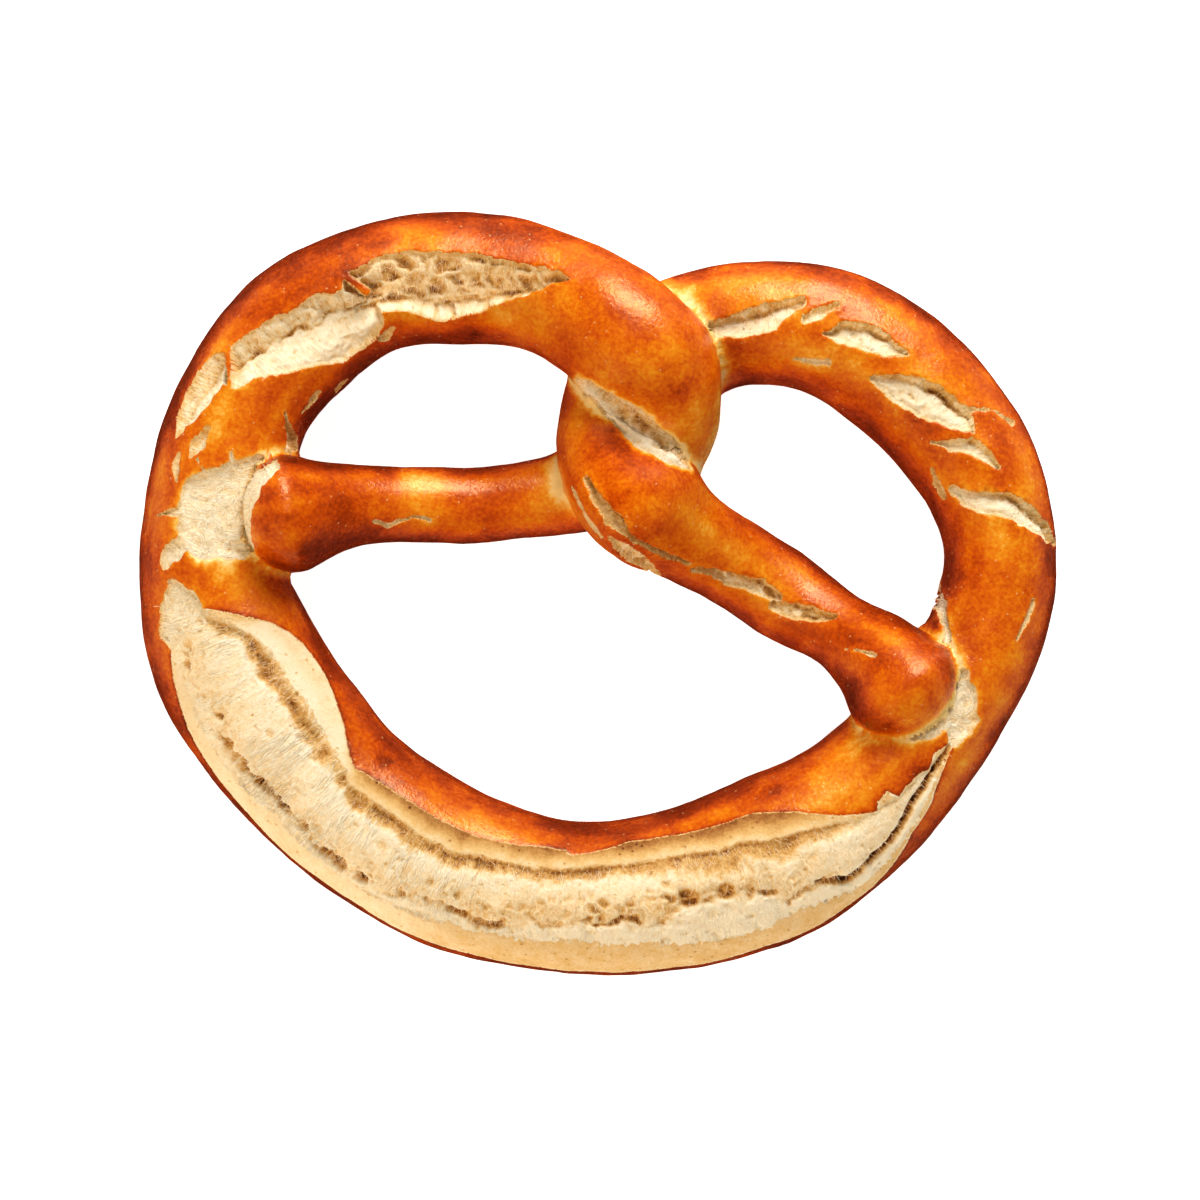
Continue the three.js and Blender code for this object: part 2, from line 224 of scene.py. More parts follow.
# The long split in the belly. Its lines run along the rope: distance, and angle from the crown, outwards.
belly = {
    "innerLip": [
        (199, 22), (200.8, 6), (202.2, -8), (204.2, -22), (206.8, -37), (210.2, -48), (213.8, -55),
        (217.2, -58), (222, -57), (227, -51), (232.5, -41), (237.8, -29), (240, -26), (242, -29),
        (247, -31), (255, -31), (268, -33), (277, -39), (284, -41), (285, -37), (297, -48), (305, -46),
        (314, -42), (322, -39), (330, -25), (337.5, -1), (341.2, 9), (342.2, 4), (344.8, 4), (345.5, 13),
        (347.5, 11), (350.2, 12), (352.5, 17), (354.8, 11), (357, 14), (359, 18),
    ],
    "outerLip": [
        (199, 24), (200, 30), (204, 36), (208.5, 43), (213.5, 50), (217, 57), (221.5, 62), (226, 65),
        (240, 67), (262, 67), (300, 68), (325, 67), (333, 67), (338.5, 59), (344, 46), (348.5, 41),
        (352, 32), (354.8, 27), (357, 23), (359, 20),
    ],
    # the torn edge of the smooth band beside the inner lip
    "bandEdge": [
        (199, 20), (202.5, 2), (204.5, -9), (207.8, -22), (212.8, -29), (216.5, -29), (223.5, -30),
        (230, -28), (235, -24), (239, -19), (241.2, -15), (248, -16), (252.2, -16), (258.5, -15),
        (264.2, -14), (265.8, -18), (272.2, -22), (280.5, -23), (290.8, -29), (303, -30), (305.8, -30),
        (313, -23), (318, -22), (322, -17), (330.8, -9), (334.8, -3), (337.8, 5), (345, 12), (357, 18),
    ],
    # the broken furrow further out
    "furrow": [
        (203, 28), (208.5, 31), (216, 28), (218.5, 28), (223.8, 36), (229.2, 33), (233.8, 32), (238.8, 33),
        (244.2, 36), (250.8, 37), (255.2, 35), (263.8, 25), (268.5, 26), (272.5, 31), (280.2, 19),
        (290.2, 15), (294.5, 13), (301, 18), (303, 10), (306.5, 8), (312.2, 10), (314.5, 15), (317.5, 15),
        (319.5, 19), (321.2, 28), (327, 29), (331, 41), (335, 41), (340, 39), (342.8, 35), (346.2, 28),
        (352.2, 24), (357, 19),
    ],
    # where the crumb's ragged fringe ends on the smooth outer band
    "fringe": [
        (203, 34), (209, 38), (214, 40), (218.5, 44), (228, 48), (236, 42), (244, 45), (254, 46), (262, 40),
        (269.5, 36), (278.8, 34), (289, 30), (298, 35), (307, 41), (313.5, 43), (324, 43), (331, 54),
        (336, 54), (342, 46), (350, 32), (357, 22),
    ],
    # distance, depth of the groove under the band, width of its torn wall, over how far it rises again
    "groove": [
        (202, 0.1, 0.3, 1), (206, 0.9, 0.8, 2.2), (210, 1.3, 1.3, 2.4), (214, 1.5, 1.8, 2),
        (218, 1.8, 2.3, 1.8), (222, 1.7, 2.4, 1.8), (228, 1.5, 2.1, 2), (235, 1.3, 1.4, 2.6),
        (239, 1.1, 0.8, 2.4), (240.8, 0.3, 0.4, 1.2), (243, 1, 0.6, 2.4), (250, 1.1, 0.8, 2.6),
        (258, 1, 0.8, 2.8), (264, 0.9, 0.7, 2.6), (272, 0.8, 0.5, 2.4), (280, 0.7, 0.4, 2.2),
        (288, 0.6, 0.4, 1.8), (298, 0.6, 0.4, 2.2), (306, 0.7, 0.5, 2.8), (314, 0.8, 0.6, 3.6),
        (322, 0.7, 0.5, 3.6), (330, 0.5, 0.4, 2.4), (337, 0.2, 0.3, 1.5), (345, 0, 0.3, 1),
    ],
    # distance, depth of the furrow, its half width, and how craggy the crumb beside it is
    "furrowDepth": [
        (203, 0, 0.5, 0.4), (207, 0.2, 0.5, 0.4), (208.5, 0.7, 0.6, 0.4), (210, 0.1, 0.5, 0.3),
        (215, 0.3, 0.6, 0.3), (220, 0.9, 0.8, 0.35), (224, 0.6, 0.8, 0.3), (229, 1.2, 0.9, 0.35),
        (235, 1.3, 0.9, 0.4), (239, 0.8, 0.8, 0.4), (244, 1.4, 1.1, 0.4), (250, 1.4, 1.1, 0.4),
        (256, 1.1, 1, 0.4), (263, 0.9, 0.8, 0.4), (270, 0.7, 0.7, 0.5), (276, 0.8, 0.7, 0.6),
        (283, 0.7, 0.7, 0.7), (292, 0.7, 0.8, 0.75), (300, 0.6, 0.8, 0.75), (304, 0.3, 1, 0.7),
        (314, 0.3, 1, 0.6), (318, 0.9, 0.9, 0.6), (322, 0.6, 0.8, 0.5), (327, 1.3, 0.9, 0.3),
        (331, 1.8, 1, 0.2), (340, 2.2, 1.1, 0.2), (348, 2, 0.9, 0.2), (354, 1.6, 0.7, 0.3),
        (358, 0.8, 0.5, 0.3),
    ],
    # distance, how clearly the crumb is drawn into fibres
    "pulled": [
        (199, 0.8), (215, 1), (245, 1), (262, 0.6), (275, 0.3), (312, 0.3), (325, 0.5), (332, 0.3),
        (352, 0.3), (359, 0.6),
    ],
    # round holes left by gas: distance, angle, radius, depth
    "holes": [
        (306, 4, 1.9, 1.1), (312.3, 6, 1.7, 0.9), (208.5, 31, 0.7, 0.6), (294, 14, 1.2, 0.3),
        (284, 18, 1, 0.4), (301, 19, 1.4, 0.3), (225, 3, 0.8, 0.4), (252, 6, 1, 0.35), (262, 12, 0.9, 0.4),
    ],
    "bandDepth": 0.2,  # how far the smooth bands lie below the crust
    "crumbDepth": 0.35,  # and the crumb between the grooves
    "bulge": 0.35,  # how far the crumb swells between the grooves
    "bandGrain": [(0.06, 1.6, 30)],
    # jagged, sawn and toothed noises for the inner edges, and how much of each is in which edge
    "edges": [[(0.55, 4, 6), (0.35, 1.1, 7)], [(0.4, 0.8, 26)], [(0.55, (0.8, 2.5, 1), 27)]],
    "wander": {"bandEdge": (0.5, 0.6, 0.3), "furrow": (1.4, 1, 1), "fringe": (1.2, 1, 1)},
    # patches of open groove, open furrow and clear strands: even value, amount, grain, seed, limits, octaves
    "opened": (0.85, 1.1, 5, 8, 0.15, 1.4, 2), "gaps": (0.55, 2, 2.8, 9, 0, 1.4, 2),
    "strands": (0.65, 1.4, (4, 9, 1), 44, 0.25, 1, 2),
    # where the clean furrow and the craggy fringe begin along the rope and over how far, and with a minus
    # where the fringe ends; and how far past the furrow it begins
    "clean": (322, 8), "fringeStart": (245, 25), "fringeEnd": (330, -15), "furrowSide": (0.6, 0.8),
    "furrowCrags": 0.35, "grooveCrags": 0.3, "fringeCrags": 0.32,
    # brownness of its parts; rise and wall are painted shadow under the band's edge, furrow, cleanFurrow and
    # holes are painted shade in the gaps, ridges paints raised crumb paler, and fringe paints the outer slope
    # paler against its shade
    "tones": {
        "innerBand": 0.84, "paleInnerBand": 0.6, "outerBand": 0.4, "paleOuterBand": 0.18,
        "crumb": 0.02, "webs": 0.34, "ridges": 0.12, "fringe": 0.14, "rise": 0.52, "paleRise": 0.2,
        "wall": 0.22, "furrow": 0.08, "cleanFurrow": 0.16, "holes": 0.32, "most": 0.52,
    },
}


def acrossLine(rows, place, sign):
    # distance from a line of the belly split, measured square to it over the dough
    perDegree = math.pi / 180 * place["radius"]
    slope = (tableAt(rows, 1, place["at"] + 1) - tableAt(rows, 1, place["at"] - 1)) / 2 * perDegree
    return sign * (place["angle"] - tableAt(rows, 1, place["at"])) * perDegree / np.sqrt(1 + slope ** 2)


def insideBelly(place):
    inside = np.minimum(acrossLine(belly["innerLip"], place, 1), acrossLine(belly["outerLip"], place, -1))
    start, end = belly["innerLip"][0][0], belly["innerLip"][-1][0]
    return np.minimum(inside, np.minimum(place["at"] - start, end - place["at"]))


# Smaller tears: the stretch of rope that each is on, its depth, how far gas has blown its crumb into webs,
# where its deepest line lies (from -1 at the lower lip to 1 at the uphill one, or None where the tear is an
# even hollow), and x, y, half width along it.
tears = {
    "topLeftWide": ((88, 150), 2.8, 0.95, -0.74, [
        (-52.4, 41.5, 2.4), (-48, 42.4, 4.7), (-43.5, 44.3, 5.4), (-37.8, 44.9, 5.8), (-33.1, 46.7, 5.2),
        (-28.4, 48.1, 3.8), (-22.5, 50.1, 2.3), (-18.6, 51.4, 1), (-15.7, 51.3, 0.2)]),
    "topLeftLong": ((118, 175), 3, 0.15, 0.3, [
        (-50.4, 35.6, 4.1), (-52, 34.8, 5.6), (-54.7, 32.9, 5.9), (-58.4, 30.2, 5.2),
        (-62.8, 27.3, 4.9), (-66.2, 24.6, 4.2), (-68.6, 22.3, 3.5)]),
    "leftShoulder": ((140, 195), 1.8, 0.25, 0.2, [
        (-71.6, 22.3, 1.8), (-72.7, 18.6, 2.4), (-74, 14.6, 2.3), (-75.1, 11.1, 1.4), (-75.8, 7.7, 0.2)]),
    "leftKnobRim": ((-1, 40), 0.3, 0.1, None, [
        (-57.8, -8.9, 1.1), (-60.2, -6.2, 2.2), (-61.6, -3, 2.8), (-61.8, -0.2, 2.8), (-60.9, 2.8, 2.4),
        (-59.4, 4.9, 1.8), (-57.5, 7.2, 0.9)]),
    "leftScratchUpper": ((150, 200), 0.9, 0.2, 0.1, [
        (-70.6, 10.7, 0.3), (-71.5, 7.8, 1.4), (-72.2, 5.3, 0.3)]),
    "leftScratchLower": ((150, 200), 0.7, 0.2, 0.1, [(-74.4, 5.5, 0.2), (-74.4, 3, 0.7), (-73.5, 0.4, 0.2)]),
    "leftKnobTear": ((155, 215), 1.3, 0.3, None, [
        (-56.6, 9, 0.1), (-59.9, 6.9, 1.8), (-63.5, 3, 3.8), (-65.8, -1.7, 6.6), (-66, -6.2, 5.2),
        (-62.3, -7.9, 2.4), (-58.8, -8.4, 1)]),
    "leftKnobTail": ((170, 215), 1, 0.2, None, [
        (-69.2, -8.9, 1.4), (-71, -11.6, 1.8), (-71.6, -13.4, 1.2), (-71.8, -15.4, 0.4)]),
    "leftSpurOuter": ((160, 205), 0.6, 0.2, None, [
        (-70, -4.2, 1.2), (-71.4, -4.4, 0.8), (-73.5, -5, 0.5), (-75.5, -6.2, 0.2)]),
    "leftSpurUpper": ((160, 205), 0.35, 0.2, None, [(-70.9, 5.1, 0.2), (-69.1, 3.3, 0.5), (-67.5, 1.5, 1)]),
    "leftSpurTop": ((160, 205), 0.35, 0.2, None, [(-65.7, 8, 0.2), (-64.9, 6.5, 0.4), (-64, 5, 1)]),
    "bellyTop": ((185, 225), 0.6, 0.2, None, [
        (-69.8, -16.6, 0.7), (-68.6, -18.2, 1.8), (-66.6, -20, 3.2), (-66.4, -21.8, 4.2), (-66.2, -24, 4)]),
    "rightKnobTear": ((340, 395), 1.05, 0.2, None, [
        (58.5, 17.9, 0.5), (59.6, 14.6, 0.9), (61.3, 10.9, 0.5), (63, 6.9, 0.9), (65.2, 2.9, 2.3),
        (66.5, -1, 3.5), (68, -4.5, 3.1), (67.7, -8.2, 1.4)]),
    "rightKnobTail": ((335, 385), 1, 0.2, None, [(60.4, -9.7, 0.5), (63.1, -7.6, 1.4), (65.1, -4.6, 2.4)]),
    "rightTop": ((425, 480), 1.9, 0.3, 0.45, [
        (7.6, 49.2, 1), (10.7, 50.5, 1.9), (14.6, 52.2, 2.4), (18.1, 54.7, 2.6), (20.6, 57.1, 1.6),
        (22.8, 58.6, 0.7)]),
    "rightTopSmall": ((415, 465), 1, 0.2, 0.1, [(24.2, 55.8, 0.7), (26.3, 57.4, 1.2), (28.9, 59.7, 0.5)]),
    "rightTopMiddle": ((410, 455), 1.7, 0.25, 0.5, [
        (28.2, 54.1, 0.7), (31.3, 55.1, 2.1), (35.2, 55.3, 2.4), (38.7, 55, 1.9), (42.6, 54.6, 0.5)]),
    "rightShoulder": ((390, 440), 1.8, 0.2, 0.6, [
        (38.4, 48.8, 0.7), (42.6, 48.3, 2.6), (46.9, 47.7, 3.3), (51, 46.8, 3), (55, 45.9, 1.9),
        (57, 44.5, 0.5)]),
    "rightShoulderLow": ((385, 430), 1.3, 0.2, 0.35, [
        (50.6, 40.8, 0.3), (54.2, 41.1, 1), (57.2, 41.8, 1.6), (60.2, 40.8, 1), (62.9, 39.4, 0.2)]),
    "rightNick": ((375, 425), 0.7, 0.2, 0.1, [(52, 36.3, 0.2), (53.7, 34.1, 0.7), (55.5, 32.2, 0.3)]),
    "rightSide": ((370, 420), 1.6, 0.2, 0.6, [
        (56.4, 33.8, 0.7), (59, 32.9, 1.6), (62.4, 33.1, 1.9), (66.1, 33.5, 2.3), (70, 32.6, 2.1),
        (73.4, 31.4, 1.4), (76.1, 29.5, 0.5)]),
    "twistLeft": ((496, 530), 1.4, 0.75, 0.3, [
        (-5.5, 19.2, 0.3), (-3.8, 17.3, 0.7), (-1.9, 15.5, 1.1), (0.4, 13.8, 1.3), (2.9, 12.5, 1.1),
        (5.4, 11.2, 0.7), (8.5, 10.4, 0.5), (11.3, 9.9, 0.5), (16.5, 9.6, 0.4)]),
    "twistCrack": ((490, 530), 0.5, 0.2, 0.1, [
        (-7.6, 17.5, 0.2), (-5.8, 15.4, 0.35), (-4, 13.4, 0.3), (-2.3, 11.7, 0.35), (-0.1, 10.1, 0.2)]),
    "armUpper": ((505, 545), 1.4, 0.6, 0.3, [
        (16.7, 8.7, 0.5), (20, 9.2, 1), (24.2, 9.1, 1.4), (28.8, 8.9, 1.6), (32, 8.1, 1.2)]),
    "armLower": ((520, 555), 1.3, 0.75, 0.3, [
        (32, 6.5, 0.9), (35.7, 6.6, 1.4), (39.2, 6.8, 1.2), (42.4, 7.3, 0.5)]),
    "twistUnder": ((490, 530), 1, 0.8, None, [
        (1.7, 10.3, 0.3), (3.4, 9.3, 0.9), (5.8, 8.5, 1.4), (8.4, 7.4, 1), (11, 6.5, 0.3)]),
    "twistSlit": ((0, 600), 1.2, 0.05, 0.02, [
        (-11.4, 35.1, 0.3), (-9, 34, 1.2), (-6, 32.8, 1.7), (-3, 31.7, 2.2), (-0.4, 30.6, 2.6),
        (2.4, 29.4, 2.8), (4.9, 28.3, 2.6), (7.5, 27.2, 2.1), (9.8, 26.4, 1.2), (11.8, 25.7, 0.3)]),
    "leftArmNick": ((0, 60), 0.5, 0.2, 0.1, [
        (-39.1, 2.7, 0.3), (-36.6, 2.5, 0.4), (-34.8, 3.9, 0.3), (-32.6, 5.1, 0.3), (-29.9, 5.3, 0.3)]),
    "gapNickUpper": ((110, 175), 0.7, 0.2, 0.1, [(-46.3, 33.1, 0.2), (-45.3, 34.2, 0.6), (-44.4, 35.8, 0.3)]),
    "gapNickLower": ((150, 200), 0.7, 0.4, 0.1, [
        (-58.4, 17.1, 0.2), (-57.7, 15.1, 0.4), (-56.3, 12.8, 0.8), (-56, 10.6, 0.9)]),
    "gapNickMiddle": ((140, 190), 0.6, 0.4, 0.1, [
        (-54, 21.9, 0.2), (-54.6, 20.4, 0.5), (-55.1, 19, 0.3), (-55.9, 17.7, 0.2)]),
    "gapNickTop": ((130, 180), 0.5, 0.2, 0.1, [(-50.2, 25.4, 0.2), (-51.1, 24.1, 0.3), (-51.7, 23.1, 0.2)]),
    "rightCrackUpper": ((380, 440), 0.5, 0.2, 0.1, [(56.3, 48.2, 0.3), (60, 49.1, 0.3), (63.5, 47.8, 0.5)]),
    "rightCrackMiddle": ((410, 460), 0.5, 0.2, 0.1, [(24.1, 48.7, 0.2), (27.2, 49, 0.3), (29.9, 49.5, 0.45)]),
    "rightCrackSide": ((360, 410), 0.6, 0.2, 0.1, [(75.1, 19.1, 0.3), (74.7, 15.1, 0.5), (73.7, 11.2, 0.3)]),
    "rightArmCrack": ((520, 575), 0.5, 0.2, 0.1, [(45, 2.3, 0.3), (47.6, 2.8, 0.4), (50.3, 2.7, 0.3)]),
}


def besideLine(spot, ax, ay, bx, by):
    # how far along a straight line the nearest place to each spot is, 0 to 1, its distance, and how far left
    step = np.array([bx - ax, by - ay])
    share = np.clip(((spot - (ax, ay)) @ step) / (step @ step), 0, 1)
    away = spot - (ax, ay) - share[:, None] * step
    left = (away[:, 1] * step[0] - away[:, 0] * step[1]) / np.linalg.norm(step)
    return share, np.linalg.norm(away, axis=1), left


def acrossTear(name, spot):
    # from above: distance inside the tear's outline, place across it from -1 to 1 uphill, half width there
    line = tears[name][-1]
    uphill = math.copysign(1, line[-1][0] - line[0][0])
    inside, across, width = np.full(len(spot), -99.0), np.zeros(len(spot)), np.ones(len(spot))
    for (ax, ay, aw), (bx, by, bw) in zip(line, line[1:]):
        share, away, left = besideLine(spot, ax, ay, bx, by)
        halfWidth = aw + share * (bw - aw)
        nearer = halfWidth - away > inside
        inside = np.where(nearer, halfWidth - away, inside)
        across = np.where(nearer, uphill * left / halfWidth, across)
        width = np.where(nearer, halfWidth, width)
    return inside, across, width


ragged = {
    "wander": [(0.55, 4.5, 1), (0.42, 1.5, 2), (0.15, 0.65, 5)],  # of the torn edges: amount, grain and seed
    "lipShare": 0.35,  # the belly's lips are smoother than those of the tears
    "narrow": (1.5, 0.7),  # tears with a half width under this wander less, down to this share
    "flank": 115,  # tears end at this angle from the crown
    "margin": 1.6,  # width of fine faces outside the lips
    "reach": 3,  # how far outside a lip its tear still counts
    "crackReach": 1.2, "crackHeight": 4,  # finer faces between strands: within this, and above this height
    # scraps of crust left across the tears: both ends and half width
    "scraps": [((-69.8, -14.2), (-69.4, -14.8), 0.9), ((-56.5, 43.4), (-50.2, 40.4), 0.6),
               ((-71.6, 26.4), (-68.3, 17.2), 0.5)],
}


def insideTear(name, points, place):
    # distance inside the tear's outline; far outside for the other strands of the rope
    start, end = tears[name][0]
    inside = np.full(len(points), -99.0)
    on = (place["at"] > start) & (place["at"] < end) & (np.abs(place["angle"]) < ragged["flank"])
    inside[on] = acrossTear(name, points[on, :2])[0]
    return inside


def tornField(points, place):
    # how far each point is inside the belly split or a tear, with ragged edges, and which one it is in
    rag = layered(points, ragged["wander"])
    inside = insideBelly(place) + ragged["lipShare"] * rag
    which = np.where(inside > -ragged["reach"], 0, -1)
    narrow, least = ragged["narrow"]
    for number, name in enumerate(tears, 1):
        here = insideTear(name, points, place)
        here = here + rag * np.clip(here.max() / narrow, least, 1)
        which = np.where((here > inside) & (here > -ragged["reach"]), number, which)
        inside = np.maximum(inside, here)
    for (ax, ay), (bx, by), halfWidth in ragged["scraps"]:
        away = besideLine(points[:, :2], ax, ay, bx, by)[1]
        inside = np.minimum(inside, away - halfWidth + 0.5 * rag)
    return inside, which


def isSmooth(place, inside):
    # the smooth bands of the split, away from their edges
    band = acrossLine(belly["bandEdge"], place, -1)
    outside = acrossLine(belly["fringe"], place, 1)
    reach = ragged["margin"]
    return (insideBelly(place) > reach) & (inside > reach) & ((band > reach) | (outside > reach))


def refineTears(bm):
    # finer faces where the crust is torn and in the cracks between strands, and finer again in the crumb
    for level in range(2):
        points = np.array([v.co for v in bm.verts])
        place = ropePlaces(points)
        inside, _ = tornField(points, place)
        if level == 0:
            crack = (np.abs(place["gap"]) < ragged["crackReach"]) & (points[:, 2] > ragged["crackHeight"])
            wanted = (inside > -ragged["margin"]) | crack
        else:
            wanted = (inside > -ragged["margin"] / 3) & ~isSmooth(place, inside)
        edges = [e for e in bm.edges if wanted[e.verts[0].index] and wanted[e.verts[1].index]]
        made = bmesh.ops.subdivide_edges(bm, edges=edges, cuts=1, use_grid_fill=True)
        relax(bm, [v for v in made["geom_inner"] if isinstance(v, bmesh.types.BMVert)], 2)
        bmesh.ops.triangulate(bm, faces=[f for f in bm.faces if len(f.verts) > 4])
        bm.verts.index_update()
        print("torn zones refined:", len(bm.verts), "vertices")
    return toMesh(bm, "pretzel")


def snapToLips(points, edges, inside):
    # moves the vertices nearest to each lip onto it, so that the crust breaks off along a clean edge
    a, b = edges[inside[edges[:, 0]] * inside[edges[:, 1]] < 0].T
    share = inside[a] / (inside[a] - inside[b])
    mover, other, amount = np.where(share < 0.5, (a, b, share), (b, a, 1 - share))
    mover, other = mover.astype(int), other.astype(int)
    order = np.argsort(-amount)
    mover, other, amount = mover[order], other[order], amount[order]
    moved = points.copy()
    moved[mover] = points[mover] + (points[other] - points[mover]) * amount[:, None]
    inside = inside.copy()
    inside[mover] = 0
    return moved, inside


crumb = {
    "crust": 0.7,  # thickness of the crust
    "curl": 0.12, "curlReach": 1.6, "bellyCurl": 0.4,  # how far the crust's edge lifts; share at the belly
    "fibreWidth": 0.8, "fibreLength": 3.2, "fibreHeight": 0.14,
    "swell": [(0.4, 6, 4, 2)], "curds": [(0.07, 0.9, 29)],
    "webSize": (2.6, 2.3, 2.4), "webDepth": 1.5, "webEdge": 0.48, "webBend": (0.7, 1.7),
    "poreSpacing": 1.9, "poreReach": 0.24, "poreDepth": 0.45, "porePatch": 4,
    # how the webs' hollows, those of blown crumb, the fibres and the slots come and go: even value, amount,
    # grain, seed, limits
    "webs": (0.5, 1.2, 3.1, 24, 0, 1), "blownWebs": (0.9, 1.2, 3.1, 24, 0, 1),
    "drawn": (0.6, 1.2, 5.5, 28, 0.1, 1.3), "slots": (0.75, 1.4, 3.4, 33, 0, 1),
    "blown": 0.8, "blownSize": 1.7,  # crumb with more webs than this is blown up, and its webs are wider
    "slotWidth": 0.55, "slotDepth": 1.0,  # the dark slot at the bottom of a tear
    "slotWander": [(0.3, 3, 31), (0.12, 0.9, 32)],
    "walls": {"twistSlit": 0.28, "topLeftWide": 0.24, "topLeftLong": 0.15, "leftShoulder": 0.12},
    "wall": 0.19,  # painted shade on the uphill wall above the slot; the line above names those that differ
    "fill": {"twistSlit": 1.9, "rightShoulder": 0.5, "rightSide": 0.4},  # how far the lower crumb stands up
    "darker": {"twistLeft": 0.3, "armLower": 0.2, "armUpper": 0.14, "twistUnder": 0.26, "gapNickLower": 0.16,
               "gapNickMiddle": 0.2, "gapNickTop": 0.2, "gapNickUpper": 0.2, "rightNick": 0.2,
               "leftSpurOuter": 0.2},
    "palest": 0.02, "ridges": 0.14, "slotShade": 0.15,  # the palest brownness, how much paler raised crumb is painted, and how much painted shade darkens the slots
    "cavity": 0.5, "cavityLimits": (-0.3, 0.4),  # painted shade: how much darker hollows are, and how much paler ridges, within these limits
}


def rolledOut(place):
    # places on the rope as if its skin were rolled out flat: along, across
    across = np.radians(place["angle"]) * place["radius"]
    return np.stack([place["at"], across, np.zeros(len(across))], 1)


def nearestCells(points, count):
    # distances to the nearest of the scattered centres of cells that are one unit apart
    return np.array([noise.voronoi(p)[0][:count] for p in points.tolist()]).T


def tornRelief(points, place, craggy, pulled, blown=False):
    # height of the torn crumb: fibres pulled across the rope and, where it is craggy, webs round hollows
    bend, bendSize = crumb["webBend"]
    fibres = noiseAt(rolledOut(place), (crumb["fibreWidth"], crumb["fibreLength"], 1), 3)
    bent = points + bend * np.stack([noiseAt(points, bendSize, seed) for seed in (21, 22, 23)], 1)
    nearest, second = nearestCells(bent / crumb["webSize"] / (crumb["blownSize"] if blown else 1) + 5, 2)
    broken = patches(points, *crumb["blownWebs" if blown else "webs"])
    hollow = ease((second - nearest) / crumb["webEdge"]) * broken
    toPore, = nearestCells(points / crumb["poreSpacing"] + 9, 1)
    pores = ease(1 - toPore / (crumb["poreReach"] * (1 + noiseAt(points, crumb["porePatch"], 25))))
    pulled = pulled * patches(points, *crumb["drawn"])
    relief = crumb["fibreHeight"] * fibres * pulled * (1 + craggy) + layered(points, crumb["swell"])
    relief += layered(points, crumb["curds"])
    return relief - crumb["webDepth"] * craggy * hollow - crumb["poreDepth"] * pores


